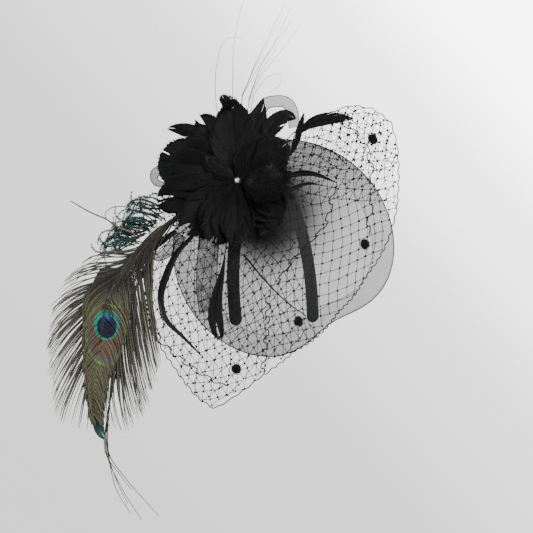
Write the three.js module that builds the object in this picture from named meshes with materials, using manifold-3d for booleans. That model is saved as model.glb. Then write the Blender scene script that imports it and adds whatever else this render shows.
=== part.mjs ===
// Fascinator headpiece: a sprung headband, a hinged hair clip that grips it, a felt pad, a see-through
// crin saucer with a wired rim, a spotted net veil, a feather flower with a gem, and a peacock spray.
//
// Row frame, millimetres: +Z up, the wearer faces -Y, the wearer's right is -X. The origin is the
// centre of the wearer's head. The trimming is laid out in the trim frame, a nested group whose
// x runs towards the face, y runs up and z points out to the wearer's right and a little forward.
import * as THREE from 'three';
import { mergeVertices } from 'three/addons/utils/BufferGeometryUtils.js';
import Module from 'manifold-3d';

const wasm = await Module();
wasm.setup();

// ---------------------------------------------------------------- driving dimensions
const GAP = 0.3;                      // room left between touching pieces

const HALF_SPAN = 77;                 // headband, half width of the arch at its centre line
const CROWN_UP = 118;                 // crown of the arch above the head centre
const CROWN_Y = 40;                   // the crown stands a little further back than the arms
const ARCH_BACK = 31.5;               // the arch plane passes this far behind the head centre
const END_ANGLE = THREE.MathUtils.degToRad(95.5);
const BAND_WIDTH = 13.5;
const CORE_HALF = 0.8;                // half thickness of the sprung core
const COVER_HALF = 1.9;               // half thickness of the covered band
const SLOT_WIDTH = 9.5;               // seam slot on the inner face, closed by the lining
const ARCH_STEPS = 25;                // odd, so one facet lies square across the crown
const CAP_LENGTH = 14;

const CLIP_ANGLE = THREE.MathUtils.degToRad(-53.6);
const JAW_HALF_WIDTH = 4.8;
const LOWER_JAW_HALF_WIDTH = 3.6;
const SHEET_METAL = 1;
const JAW_STANDOFF = COVER_HALF + 0.5;
const HINGE_FORWARD = 12;             // hinge pin, forward of the middle of the band
const JAW_TIP = -12;
const TAIL_LENGTH = 9;
const TAIL_TILT = THREE.MathUtils.degToRad(35);
const PIN_RADIUS = 0.8;
const PIN_HOLE_RADIUS = 1.1;
const EAR_RADIUS = 1.9;
const PAD_RADIUS = 14;

const DISH_CENTRE = [-19, 48];
const DISH_RADIUS = 105;
const DISH_OUT = 78;                  // how far the middle of the saucer stands out
const DISH_DEPTH = 18;
const DISH_THICKNESS = 1;
const DISH_SEGMENTS = 48;
const HEM_WIDTH = 11;
const RIM_WIRE_RADIUS = 0.8;

const VEIL_CENTRE = [-30, 40];
const VEIL_THICKNESS = 1;
const VEIL_EDGE_LIFT = 4.5;           // veil above the saucer at the rim, and further at the middle
const VEIL_CROWN_LIFT = 13;
const DOT_RADIUS = 4.8;

const FLOWER = [-62, 112];
const FLOWER_LIFT = 4.5;              // lowest petals above the veil at the middle of the flower
const PETAL_LAYER = 3;
const PETAL_THICKNESS = 0.8;
const PETAL_ROOT = 9;
const GEM_RADIUS = 2.85;

const FEATHER_THICKNESS = 0.8;
const HAIR_RADIUS = 0.4;

// ---------------------------------------------------------------- finishes
function finish(color, roughness, metalness = 0, opacity = 1) {
  return new THREE.MeshStandardMaterial({ color, roughness, metalness, opacity, transparent: opacity < 1 });
}

const satin = () => finish(0x141415, 0.6);
const felt = () => finish(0x161617, 0.95);
const plastic = () => finish(0x1c1c1e, 0.5);
const steel = () => finish(0xb9bcc0, 0.3, 1);
const crin = () => finish(0x1b1b1d, 0.55, 0, 0.4);
const net = () => finish(0x18181a, 0.8, 0, 0.5);
const blackFeather = () => finish(0x17171a, 0.7);
const hair = () => finish(0x4a4a4a, 0.6);
const peacock = () => finish(0x5b5a3e, 0.5);
const herl = () => finish(0x1f5a52, 0.5);
const tanQuill = () => finish(0x8a8266, 0.6);
const silver = () => finish(0xd8dade, 0.15, 1);
const crystal = () => finish(0xe8ecf2, 0.05, 0.2);

// ---------------------------------------------------------------- groups and helpers
const fascinator = new THREE.Group();

// The trim frame turns x, y and z onto forward, up and outward.
const trim = new THREE.Group();
trim.rotation.set(Math.PI / 2, 0, -Math.PI / 3, 'ZYX');
fascinator.add(trim);

// The arch frame holds the headband's plane: x across the head, y up the arch, z forward.
const archRise = Math.hypot(CROWN_UP, CROWN_Y - ARCH_BACK);
const arch = new THREE.Group();
arch.position.set(0, ARCH_BACK, 0);
arch.rotation.x = Math.atan2(CROWN_UP, CROWN_Y - ARCH_BACK);
fascinator.add(arch);
fascinator.updateMatrixWorld(true);

function addMesh(group, name, geometry, material) {
  const mesh = new THREE.Mesh(geometry, material);
  mesh.name = name;
  group.add(mesh);
  return mesh;
}

function toSolid(geometry, matrix = new THREE.Matrix4()) {
  const bare = geometry.clone().applyMatrix4(matrix);
  bare.deleteAttribute('normal');
  bare.deleteAttribute('uv');
  const merged = mergeVertices(bare, 1e-4);
  return new wasm.Manifold(new wasm.Mesh({
    numProp: 3,
    vertProperties: new Float32Array(merged.attributes.position.array),
    triVerts: new Uint32Array(merged.index.array),
  }));
}

function fromSolid(solid) {
  const mesh = solid.getMesh();
  const geometry = new THREE.BufferGeometry();
  geometry.setAttribute('position', new THREE.BufferAttribute(mesh.vertProperties, 3));
  geometry.setIndex(new THREE.BufferAttribute(mesh.triVerts, 1));
  geometry.computeVertexNormals();
  return geometry;
}

function unite(solids) {
  return solids.reduce((sum, solid) => sum.add(solid));
}

// Moves every point of a box from its own (x, y, z) to the point that place gives.
function reshape(geometry, place) {
  const position = geometry.attributes.position;
  const point = new THREE.Vector3();
  for (let i = 0; i < position.count; i += 1) {
    point.copy(place(position.getX(i), position.getY(i), position.getZ(i)));
    position.setXYZ(i, point.x, point.y, point.z);
  }
  return geometry;
}

function boxAt(x, y, z, width, height, depth) {
  return new THREE.BoxGeometry(width, height, depth).translate(x, y, z);
}

function polygon(radius, sides) {
  const shape = new THREE.Shape();
  for (let i = 0; i < sides; i += 1) {
    const turn = (2 * Math.PI * i) / sides;
    const x = radius * Math.cos(turn);
    const y = radius * Math.sin(turn);
    if (i === 0) shape.moveTo(x, y);
    else shape.lineTo(x, y);
  }
  return shape;
}

function curveThrough(points) {
  return new THREE.CatmullRomCurve3(points.map((p) => new THREE.Vector3(...p)));
}

function tube(points, radius, sides, steps) {
  return new THREE.ExtrudeGeometry(polygon(radius, sides), {
    extrudePath: curveThrough(points),
    steps,
    bevelEnabled: false,
  });
}

// A flat strip carried along a route, its face turned out along z and then rolled by roll.
// widthAt gives the strip's full width at a share s of the way along.
function strip(points, widthAt, { steps = 12, across = 2, roll = 0, thickness = FEATHER_THICKNESS } = {}) {
  const route = curveThrough(points);
  const outward = new THREE.Vector3(0, 0, 1);
  const box = new THREE.BoxGeometry(1, 1, thickness, steps, across, 1);
  return reshape(box, (x, y, z) => {
    const share = x + 0.5;
    const along = route.getTangentAt(share);
    const side = new THREE.Vector3().crossVectors(outward, along).normalize();
    side.applyAxisAngle(along, roll);
    const face = new THREE.Vector3().crossVectors(along, side);
    return route.getPointAt(share).addScaledVector(side, y * widthAt(share)).addScaledVector(face, z);
  });
}

// Leaf outline: narrow root, widest at the share called belly, small rounded tip.
function leaf(width, root = 1.2, belly = 0.6, tip = 0.8) {
  return (s) => {
    const rise = s < belly ? Math.sin((Math.PI / 2) * (s / belly)) : Math.cos((Math.PI / 2) * ((s - belly) / (1 - belly)));
    const floor = s < belly ? root : tip;
    return floor + (width - floor) * rise;
  };
}

// ---------------------------------------------------------------- headband
// Points of the arch, offset outwards from the centre line of the band.
function archPoint(angle, offset) {
  const out = new THREE.Vector2(Math.sin(angle) / HALF_SPAN, Math.cos(angle) / archRise).normalize();
  return new THREE.Vector2(HALF_SPAN * Math.sin(angle), archRise * Math.cos(angle)).addScaledVector(out, offset);
}

function archSolid(inner, outer, width, reach = END_ANGLE) {
  const shape = new THREE.Shape();
  for (let i = 0; i <= ARCH_STEPS; i += 1) {
    const p = archPoint(-reach + (2 * reach * i) / ARCH_STEPS, outer);
    if (i === 0) shape.moveTo(p.x, p.y);
    else shape.lineTo(p.x, p.y);
  }
  for (let i = ARCH_STEPS; i >= 0; i -= 1) {
    const p = archPoint(-reach + (2 * reach * i) / ARCH_STEPS, inner);
    shape.lineTo(p.x, p.y);
  }
  const body = new THREE.ExtrudeGeometry(shape, { depth: width, bevelEnabled: false });
  return toSolid(body.translate(0, 0, -width / 2));
}

function endTongue(side, halfThickness, width, length) {
  const half = width / 2;
  const shape = new THREE.Shape();
  shape.moveTo(-half, 0);
  shape.lineTo(half, 0);
  shape.lineTo(half, length - half);
  shape.absarc(0, length - half, half, 0, Math.PI, false);
  const body = new THREE.ExtrudeGeometry(shape, { depth: 2 * halfThickness, bevelEnabled: false, curveSegments: 8 });
  body.translate(0, 0, -halfThickness);
  // The tongue's own y runs down the arm, its z across the thickness of the band.
  const end = archPoint(side * END_ANGLE, 0);
  const before = archPoint(side * (END_ANGLE - 0.02), 0);
  const down = new THREE.Vector3(end.x - before.x, end.y - before.y, 0).normalize();
  const across = new THREE.Vector3(0, 0, 1);
  const through = new THREE.Vector3().crossVectors(across, down);
  const place = new THREE.Matrix4().makeBasis(across, down, through);
  place.setPosition(end.x + down.x * GAP, end.y + down.y * GAP, 0);
  return toSolid(body, place);
}

function addHeadband() {
  const core = archSolid(-CORE_HALF, CORE_HALF, BAND_WIDTH - 2.4);
  const cavity = archSolid(-CORE_HALF - GAP, CORE_HALF + GAP, BAND_WIDTH - 1.6, END_ANGLE + 0.02);
  const slot = archSolid(-COVER_HALF - 1, -CORE_HALF, SLOT_WIDTH, END_ANGLE + 0.02);
  const cover = archSolid(-COVER_HALF, COVER_HALF, BAND_WIDTH).subtract(cavity).subtract(slot);
  const lining = archSolid(-COVER_HALF, -CORE_HALF - 2 * GAP, SLOT_WIDTH - 2 * GAP);
  addMesh(arch, 'headband_core', fromSolid(core), plastic());
  addMesh(arch, 'headband_cover', fromSolid(cover), satin());
  addMesh(arch, 'headband_lining', fromSolid(lining), satin());
  for (const [name, side] of [['right', -1], ['left', 1]]) {
    const cap = endTongue(side, COVER_HALF, BAND_WIDTH, CAP_LENGTH);
    addMesh(arch, `headband_end_${name}`, fromSolid(cap), satin());
  }
}

// ---------------------------------------------------------------- saucer surface
function smoothStep(x) {
  const t = THREE.MathUtils.clamp(x, 0, 1);
  return t * t * (3 - 2 * t);
}

function saucerOut(x, y) {
  const dx = x - DISH_CENTRE[0];
  const dy = y - DISH_CENTRE[1];
  const share = (dx * dx + dy * dy) / (DISH_RADIUS * DISH_RADIUS);
  return DISH_OUT + 0.12 * dx - 0.25 * dy - DISH_DEPTH * share;
}

// The round rim is flattened below the face.
function saucerRadius(turn) {
  const away = THREE.MathUtils.euclideanModulo(turn - THREE.MathUtils.degToRad(-57) + Math.PI, 2 * Math.PI) - Math.PI;
  return DISH_RADIUS - 22 * Math.exp(-((away / THREE.MathUtils.degToRad(27)) ** 2));
}

function veilOut(x, y) {
  const dx = x - DISH_CENTRE[0];
  const dy = y - DISH_CENTRE[1];
  const share = Math.min(1, (dx * dx + dy * dy) / (DISH_RADIUS * DISH_RADIUS));
  return saucerOut(x, y) + VEIL_EDGE_LIFT + VEIL_CROWN_LIFT * (1 - share);
}

function onVeil(x, y, lift) {
  return [x, y, veilOut(x, y) + lift];
}

// A round sheet: rings from the middle to the edge, turned as a lathe and then laid on a surface.
function roundSheet(centre, radiusAt, outAt, shares, low, high, segments) {
  const profile = [];
  shares.forEach((s) => profile.push(new THREE.Vector2(s, low)));
  [...shares].reverse().forEach((s) => profile.push(new THREE.Vector2(s, high)));
  if (shares[0] > 0) profile.push(profile[0].clone());
  const lathe = new THREE.LatheGeometry(profile, segments);
  return reshape(lathe, (x, y, z) => {
    const share = Math.hypot(x, z);
    const turn = Math.atan2(-z, x);
    const px = centre[0] + share * radiusAt(turn) * Math.cos(turn);
    const py = centre[1] + share * radiusAt(turn) * Math.sin(turn);
    return new THREE.Vector3(px, py, outAt(px, py) + y);
  });
}

const DISH_RINGS = [0, 0.2, 0.4, 0.6, 0.8, 1];

function dishSheet(low, high) {
  return roundSheet(DISH_CENTRE, saucerRadius, saucerOut, DISH_RINGS, low, high, DISH_SEGMENTS);
}

function addDish() {
  addMesh(trim, 'crin_dish', dishSheet(-DISH_THICKNESS / 2, DISH_THICKNESS / 2), crin());
  const hemTop = -DISH_THICKNESS / 2 - GAP - 0.1;
  const hemShares = [1 - HEM_WIDTH / DISH_RADIUS, 0.99];
  const hem = roundSheet(DISH_CENTRE, saucerRadius, saucerOut, hemShares, hemTop - 0.6, hemTop, DISH_SEGMENTS);
  addMesh(trim, 'crin_rim_hem', hem, crin());
  const section = [];
  for (let i = 0; i <= 6; i += 1) {
    const turn = (2 * Math.PI * (i % 6)) / 6;
    const outward = 2 * GAP + RIM_WIRE_RADIUS * (1 + Math.cos(turn));
    section.push(new THREE.Vector2(DISH_RADIUS + outward, RIM_WIRE_RADIUS * Math.sin(turn)));
  }
  const wire = reshape(new THREE.LatheGeometry(section, DISH_SEGMENTS), (x, y, z) => {
    const turn = Math.atan2(-z, x);
    const reach = Math.hypot(x, z) - DISH_RADIUS + saucerRadius(turn);
    const px = DISH_CENTRE[0] + reach * Math.cos(turn);
    const py = DISH_CENTRE[1] + reach * Math.sin(turn);
    return new THREE.Vector3(px, py, saucerOut(px, py) + y);
  });
  addMesh(trim, 'rim_wire', wire, satin());
}

// ---------------------------------------------------------------- clip and felt pad
const clipOrigin = archPoint(CLIP_ANGLE, 0);
const clipOut = archPoint(CLIP_ANGLE, 1).sub(clipOrigin);
const clip = new THREE.Group();
clip.position.set(clipOrigin.x, clipOrigin.y, 0);
clip.rotation.z = Math.atan2(-clipOut.x, clipOut.y);
arch.add(clip);
fascinator.updateMatrixWorld(true);

// Clip frame: x along the band towards the crown, y out from the head, z forward.
function acrossCylinder(radius, halfLength, z, y = 0, sides = 16) {
  const cylinder = new THREE.CylinderGeometry(radius, radius, 2 * halfLength, sides);
  return cylinder.rotateZ(Math.PI / 2).translate(0, y, z);
}

function jaw(side, halfWidth, tail) {
  const middle = side * (JAW_STANDOFF + SHEET_METAL / 2);
  const length = HINGE_FORWARD + 2 - JAW_TIP;
  const plate = toSolid(boxAt(0, middle, JAW_TIP + length / 2, 2 * halfWidth, SHEET_METAL, length));
  const ears = [-1, 1].map((hand) => {
    const x = hand * (halfWidth - 0.4);
    const round = new THREE.CylinderGeometry(EAR_RADIUS, EAR_RADIUS, 0.8, 16).rotateZ(Math.PI / 2);
    const stem = boxAt(x, middle / 2, HINGE_FORWARD, 0.8, Math.abs(middle), 2 * EAR_RADIUS);
    return toSolid(round.translate(x, 0, HINGE_FORWARD)).add(toSolid(stem));
  });
  const hole = toSolid(acrossCylinder(PIN_HOLE_RADIUS, halfWidth + 1, HINGE_FORWARD));
  return unite([plate, tail, ...ears]).subtract(hole);
}

function addClip() {
  const upperY = JAW_STANDOFF + SHEET_METAL / 2;
  const tailStart = HINGE_FORWARD + 1.6;
  const upperTail = boxAt(0, 0, TAIL_LENGTH / 2, 2 * JAW_HALF_WIDTH, SHEET_METAL, TAIL_LENGTH);
  upperTail.rotateX(-TAIL_TILT).translate(0, upperY, tailStart);
  const lowerTail = boxAt(0, -upperY, tailStart + TAIL_LENGTH / 2, 2 * LOWER_JAW_HALF_WIDTH, SHEET_METAL, TAIL_LENGTH);
  const upper = jaw(1, JAW_HALF_WIDTH, toSolid(upperTail));
  const lower = jaw(-1, LOWER_JAW_HALF_WIDTH, toSolid(lowerTail));
  addMesh(clip, 'clip_upper_jaw', fromSolid(upper), steel());
  addMesh(clip, 'clip_lower_jaw', fromSolid(lower), steel());

  const head = JAW_HALF_WIDTH + GAP;
  const pinProfile = [[0, -head - 0.5], [1.4, -head - 0.5], [1.4, -head], [PIN_RADIUS, -head],
    [PIN_RADIUS, head], [1.4, head], [1.4, head + 0.5], [0, head + 0.5]];
  const pin = new THREE.LatheGeometry(pinProfile.map((p) => new THREE.Vector2(...p)), 12);
  addMesh(clip, 'clip_pin', pin.rotateZ(Math.PI / 2).translate(0, 0, HINGE_FORWARD), steel());

  const turns = 4;
  const coil = [];
  const coilSteps = turns * 8;
  for (let i = 0; i <= coilSteps; i += 1) {
    const turn = (2 * Math.PI * turns * i) / coilSteps;
    coil.push([-2 + (4 * i) / coilSteps, 1.55 * Math.sin(turn), HINGE_FORWARD + 1.55 * Math.cos(turn)]);
  }
  addMesh(clip, 'clip_spring', tube(coil, 0.3, 4, 40), steel());
}

function addFeltPad() {
  const height = 48;
  const start = JAW_STANDOFF + SHEET_METAL + GAP;
  const block = new THREE.CylinderGeometry(PAD_RADIUS, PAD_RADIUS, height, 20);
  const pad = toSolid(block.translate(0, start + height / 2, -6), clip.matrixWorld);
  const above = toSolid(dishSheet(-DISH_THICKNESS / 2 - GAP, 60), trim.matrixWorld);
  addMesh(fascinator, 'felt_pad', fromSolid(pad.subtract(above)), felt());
}

// ---------------------------------------------------------------- veil
const VEIL_OUTLINE = [[60, 23], [83, 61], [92, 113], [92, 151], [85, 178], [56, 191], [21, 178], [-20, 150],
  [-62, 150], [-110, 120], [-150, 60], [-152, 9], [-145, -30], [-122, -68], [-95, -101], [-86, -106],
  [-74, -98], [-39, -72], [-10, -50], [14, -35], [33, -12]];

// Radius of the veil at a turn about its middle, eased from one outline point to the next.
function veilRadius(turn) {
  const polar = VEIL_OUTLINE.map(([x, y]) => {
    const dx = x - VEIL_CENTRE[0];
    const dy = y - VEIL_CENTRE[1];
    return [THREE.MathUtils.euclideanModulo(Math.atan2(dy, dx), 2 * Math.PI), Math.hypot(dx, dy)];
  }).sort((p, q) => p[0] - q[0]);
  const at = THREE.MathUtils.euclideanModulo(turn, 2 * Math.PI);
  const after = polar.findIndex((p) => p[0] > at);
  const next = after < 0 ? [polar[0][0] + 2 * Math.PI, polar[0][1]] : polar[after];
  const last = polar.at(after < 0 ? -1 : after - 1);
  const start = after === 0 ? last[0] - 2 * Math.PI : last[0];
  return THREE.MathUtils.lerp(last[1], next[1], (at - start) / (next[0] - start));
}

const DOTS = [[67, 153], [57, 52], [-5, -20], [-63, -65]];

function addVeil() {
  const half = VEIL_THICKNESS / 2;
  const rings = [0, 0.25, 0.5, 0.75, 1];
  const veil = roundSheet(VEIL_CENTRE, veilRadius, veilOut, rings, -half, half, 52);
  addMesh(trim, 'veil_net', veil, net());
  DOTS.forEach(([x, y], i) => {
    const dot = new THREE.IcosahedronGeometry(DOT_RADIUS, 1);
    dot.translate(...onVeil(x, y, DOT_RADIUS + half + 1.2));
    addMesh(trim, `veil_dot_${i + 1}`, dot, felt());
  });
}

// ---------------------------------------------------------------- flower
// Height of the petals of a layer: it follows the veil's slope and lifts away from the middle.
function petalOut(x, y, layer) {
  const dx = x - FLOWER[0];
  const dy = y - FLOWER[1];
  const reach = Math.hypot(dx, dy);
  const slope = 0.2 * dx - 0.36 * dy;
  const lift = 0.34 * reach - 0.0028 * reach * reach;
  return veilOut(FLOWER[0], FLOWER[1]) + FLOWER_LIFT + PETAL_LAYER * layer + slope + lift;
}

// tip, full width, layer from the back; every layer's petals stand clear of one another.
const PETALS = [
  [[-139, 98], 34, 0], [[-112, 62], 32, 1], [[-39, 60], 30, 0], [[-15, 148], 30, 0], [[-96, 176], 26, 0],
  [[-136, 138], 48, 1], [[-84, 52], 34, 2], [[-18, 74], 29, 1], [[-12, 122], 31, 1],
  [[-71, 193], 42, 2], [[-63, 51], 22, 3],
  [[-92, 132], 22, 3], [[-90, 94], 20, 3], [[-35, 92], 20, 3], [[-56, 144], 20, 3],
];

function petal([tipX, tipY], width, layer) {
  const dx = tipX - FLOWER[0];
  const dy = tipY - FLOWER[1];
  const length = Math.hypot(dx, dy);
  const along = new THREE.Vector2(dx / length, dy / length);
  const widthAt = leaf(width, 4, 0.68, 4);
  const steps = length > 50 ? 8 : 5;
  const box = new THREE.BoxGeometry(1, 1, PETAL_THICKNESS, steps, 4, 1);
  return reshape(box, (x, y, z) => {
    const share = x + 0.5;
    const reach = PETAL_ROOT + (length - PETAL_ROOT) * share;
    const side = y * widthAt(share);
    const px = FLOWER[0] + along.x * reach - along.y * side;
    const py = FLOWER[1] + along.y * reach + along.x * side;
    const cup = 1.2 * (2 * y) ** 2 * share;
    return new THREE.Vector3(px, py, petalOut(px, py, layer) + cup + z);
  });
}

function addFlower() {
  const disc = new THREE.CylinderGeometry(18, 18, 1.6, 24).rotateX(Math.PI / 2);
  reshape(disc, (x, y, z) => {
    const px = x + FLOWER[0];
    const py = y + FLOWER[1];
    return new THREE.Vector3(px, py, veilOut(px, py) + VEIL_THICKNESS + 3 * GAP + z);
  });
  addMesh(trim, 'flower_backing_disc', disc, felt());
  PETALS.forEach(([tip, width, layer], i) => {
    addMesh(trim, `petal_${String(i + 1).padStart(2, '0')}`, petal(tip, width, layer), blackFeather());
  });

  const middle = petalOut(...FLOWER, 4) + 1;
  const cup = [[0, 0], [2.2, 0], [3.4, 1.4], [3.4, 2.6], [2.9, 2.6], [2.9, 1.6], [1.8, 0.7], [0, 0.7]];
  const setting = new THREE.LatheGeometry(cup.map((p) => new THREE.Vector2(...p)), 16).rotateX(Math.PI / 2);
  addMesh(trim, 'gem_setting', setting.translate(FLOWER[0], FLOWER[1], middle), silver());
  const stone = [[0, 0], [2.3, 1.2], [2.5, 1.9], [1.5, 3.1], [0, 3.1]];
  const gem = new THREE.LatheGeometry(stone.map((p) => new THREE.Vector2(...p)), 8).rotateX(Math.PI / 2);
  addMesh(trim, 'gem', gem.translate(FLOWER[0], FLOWER[1], middle + 1.1), crystal());

  const puff = new THREE.SphereGeometry(1, 16, 10).scale(24, 23, 9);
  reshape(puff, (x, y, z) => new THREE.Vector3(x - 34, y + 113, petalOut(x - 34, y + 113, 4) + 10 + z));
  addMesh(trim, 'down_puff', puff, blackFeather());
}

// ---------------------------------------------------------------- black feathers, loops and hairs
function addFeather(name, points, widthAt, options) {
  addMesh(trim, name, strip(points, widthAt, options), blackFeather());
}

function addBlackFeathers() {
  addFeather('leaf_feather', [[-6, 160, 40], [10, 174, 38], [28, 177, 36], [48, 173, 35]], leaf(10, 1.2, 0.45));
  addFeather('narrow_feather', [[-10, 138, 52], [-5, 152, 50], [-1, 166, 48], [2, 178, 46]], leaf(4, 1.2, 0.4));
  addFeather('pointed_feather', [[-44, 150, 48], [-39, 168, 46], [-36, 182, 44], [-35, 196, 42]], leaf(17, 4, 0.4));
  addFeather('curved_feather', [[-36, 146, 60], [-26, 160, 58], [-16, 169, 55], [-5, 173, 52]], leaf(18, 4, 0.5));
  addFeather('left_feather', [[-92, 152, 46], [-104, 158, 44], [-116, 161, 43], [-129, 163, 42]], leaf(7, 2, 0.4));
  addFeather('long_biot', [onVeil(-108, 54, 12), onVeil(-119, 44, 13), onVeil(-129, 24, 10), onVeil(-135, 2, 6),
    onVeil(-130, -19, 5), onVeil(-113, -36, 4), onVeil(-94, -55, 4)], leaf(5, 3, 0.35), { steps: 20 });
  addFeather('short_biot', [onVeil(-120, 64, 19), onVeil(-134, 55, 20), onVeil(-149, 44, 20),
    onVeil(-158, 28, 18), onVeil(-152, 11, 15)], leaf(7, 3, 0.6), { steps: 14 });
  addFeather('hanging_feather', [onVeil(-78, 22, 5), onVeil(-82, 4, 6), onVeil(-83, -16, 6),
    onVeil(-80, -38, 6)], leaf(14, 1.4, 0.68, 5), { across: 3 });
  const quill = [onVeil(-56, 42, 8), onVeil(-37, 19, 5), onVeil(-16, -2, 3.5), onVeil(2, -15, 2.5)];
  addMesh(trim, 'bare_quill', tube(quill, 0.7, 6, 14), blackFeather());
}

function addCrinLoops() {
  const even = (width) => () => width;
  addMesh(trim, 'crin_loop_top', strip([[-20, 152, 47], [-22, 172, 43], [-20, 188, 39], [-13, 192, 36],
    [-9, 184, 35], [-9, 168, 38]], even(13), { steps: 16, roll: 0.5 }), crin());
  addMesh(trim, 'crin_loop_left', strip([[-126, 124, 44], [-134, 124, 40], [-142, 120, 36],
    [-141, 112, 33], [-130, 108, 32]], even(10), { steps: 12, roll: 0.4 }), crin());
  addMesh(trim, 'crin_loop_low', strip([onVeil(-116, 62, 9), onVeil(-124, 50, 10), onVeil(-132, 42, 10),
    onVeil(-139, 40, 11), onVeil(-142, 46, 11)], even(12), { steps: 12, roll: -0.4 }), crin());
  addMesh(trim, 'crin_loop_bottom', strip([onVeil(-90, 50, 6), onVeil(-90, 30, 7), onVeil(-91, 10, 6),
    onVeil(-90, -8, 4)], leaf(20, 16, 0.3, 4), { steps: 10 }), crin());
}

const HAIRS = [
  [[-67, 195, 36], [-67, 218, 36], [-66, 243, 37], [-62, 268, 38], [-56, 286, 40]],
  [[-83, 185, 33], [-84, 205, 32], [-83, 222, 30], [-79, 240, 30], [-74, 249, 32], [-64, 251, 34], [-57, 249, 36]],
  [[-58, 195, 44], [-52, 208, 46], [-46, 223, 48], [-36, 243, 52], [-28, 259, 55], [-17, 280, 58]],
  [[-51, 193, 38], [-47, 205, 39], [-41, 221, 40], [-31, 238, 43], [-21, 257, 45], [-11, 280, 48]],
  [[-47, 196, 32], [-37, 210, 31], [-29, 215, 31], [-21, 215, 31], [-22, 206, 31], [-32, 198, 31]],
];

function addHairs() {
  HAIRS.forEach((points, i) => {
    addMesh(trim, `hair_whisp_${i + 1}`, tube(points, HAIR_RADIUS, 4, 14), hair());
  });
}

// ---------------------------------------------------------------- peacock spray
const RACHIS = [[-108, 84, 69], [-128, 72, 71], [-145, 60, 70], [-161, 40, 66], [-177, 17, 63], [-186, -2, 61],
  [-189, -24, 59], [-194, -58, 56], [-200, -92, 53], [-203, -116, 51]];

function raised(points, lift) {
  return points.map(([x, y, z]) => [x, y, z + lift]);
}

// Outer width of the fringe of barbs along the eye feather.
function vaneWidth(s) {
  return 10 + 92 * smoothStep((s - 0.1) / 0.75);
}

function addPeacockSpray() {
  addMesh(trim, 'eye_feather_vane', strip(RACHIS, vaneWidth, { steps: 18, across: 4, thickness: 1.2 }), peacock());
  addMesh(trim, 'eye_feather_quill', tube(raised(RACHIS.slice(0, 7), -2), 0.9, 6, 24), tanQuill());
  const sword = [[-150, 30, 50], [-168, -10, 46], [-178, -60, 42], [-185, -120, 38], [-184, -150, 36],
    [-172, -176, 34], [-141, -208, 32]];
  addMesh(trim, 'sword_feather', strip(sword, (s) => 9 - 7 * s, { steps: 18 }), peacock());
  const tuft = [[-128, 86, 57], [-145, 82, 59], [-165, 72, 61], [-193, 54, 61]];
  addMesh(trim, 'herl_tuft', strip(tuft, leaf(52, 14, 0.55, 20), { steps: 8, across: 4, thickness: 1.2 }), herl());
  const stub = [[-178, 70, 66], [-187, 76, 67], [-203, 83, 68], [-220, 93, 69]];
  addMesh(trim, 'quill_stub', tube(stub, 0.9, 6, 8), tanQuill());
}

addHeadband();
addDish();
addClip();
addFeltPad();
addVeil();
addFlower();
addBlackFeathers();
addCrinLoops();
addHairs();
addPeacockSpray();

export default fascinator;
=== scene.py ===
"""Looks of a black fascinator: covered headband, crin saucer, spotted net veil, feather flower, peacock
spray.

Shapes are worked out in the trim frame, in millimetres: a runs towards the face, b up, and n out to the
wearer's right. The frame's own parts give the places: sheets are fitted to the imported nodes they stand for.
"""
import math

import bpy
import numpy as np
from mathutils import Matrix, Vector


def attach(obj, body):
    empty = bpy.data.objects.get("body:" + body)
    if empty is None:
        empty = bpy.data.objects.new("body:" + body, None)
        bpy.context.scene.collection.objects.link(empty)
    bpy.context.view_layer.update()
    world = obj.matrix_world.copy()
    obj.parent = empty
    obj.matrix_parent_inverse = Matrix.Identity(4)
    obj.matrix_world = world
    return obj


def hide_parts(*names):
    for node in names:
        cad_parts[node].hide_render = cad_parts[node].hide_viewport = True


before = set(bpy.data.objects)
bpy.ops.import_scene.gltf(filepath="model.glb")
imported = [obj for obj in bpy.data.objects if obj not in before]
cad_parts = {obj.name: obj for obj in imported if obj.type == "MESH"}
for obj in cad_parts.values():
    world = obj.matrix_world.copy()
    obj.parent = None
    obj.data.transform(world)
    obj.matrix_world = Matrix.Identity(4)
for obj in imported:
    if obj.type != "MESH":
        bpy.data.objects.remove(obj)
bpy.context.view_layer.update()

bl_info = {
    "name": "Feather fascinator",
    "version": (1, 0, 0),
    "blender": (4, 5, 0),
    "location": "View3D > Sidebar > Fascinator",
    "description": "Builds the visible pieces of a black feather fascinator round its packed frame",
    "category": "Object",
}

BODY = "headpiece"
MM = 0.001
TRIM = np.array([[0.5, -math.sqrt(3) / 2, 0], [0, 0, 1], [-math.sqrt(3) / 2, -0.5, 0]])
UV_MM = 100.0          # one unit of a UV map is this many millimetres
OUTWARD = np.array([0.0, 0.0, 1.0])


# ------------------------------------------------------------------ places in the frame
def to_row(points):
    """Trim millimetres to row metres: the sum of each coordinate times its axis."""
    return np.asarray(points, float) @ TRIM * MM


def row_points(node):
    """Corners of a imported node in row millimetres, each once."""
    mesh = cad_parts[node].data
    flat = np.empty(len(mesh.vertices) * 3)
    mesh.vertices.foreach_get("co", flat)
    return np.unique(np.round(flat.reshape(-1, 3) / MM, 3), axis=0)


def trim_points(node):
    """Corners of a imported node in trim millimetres."""
    return row_points(node) @ TRIM.T


def powers(a, b, degree):
    """All products a^i b^j with i + j up to degree, in hundreds of millimetres."""
    a, b = np.asarray(a) / UV_MM, np.asarray(b) / UV_MM
    return np.stack([a ** i * b ** j for i in range(degree + 1) for j in range(degree + 1 - i)], -1)


def fitted(node, degree=2):
    """Height n of a thin packed sheet over (a, b): the least-squares polynomial through its corners."""
    p = trim_points(node)
    weights = np.linalg.lstsq(powers(p[:, 0], p[:, 1], degree), p[:, 2], rcond=None)[0]
    return lambda a, b: powers(a, b, degree) @ weights


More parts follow.
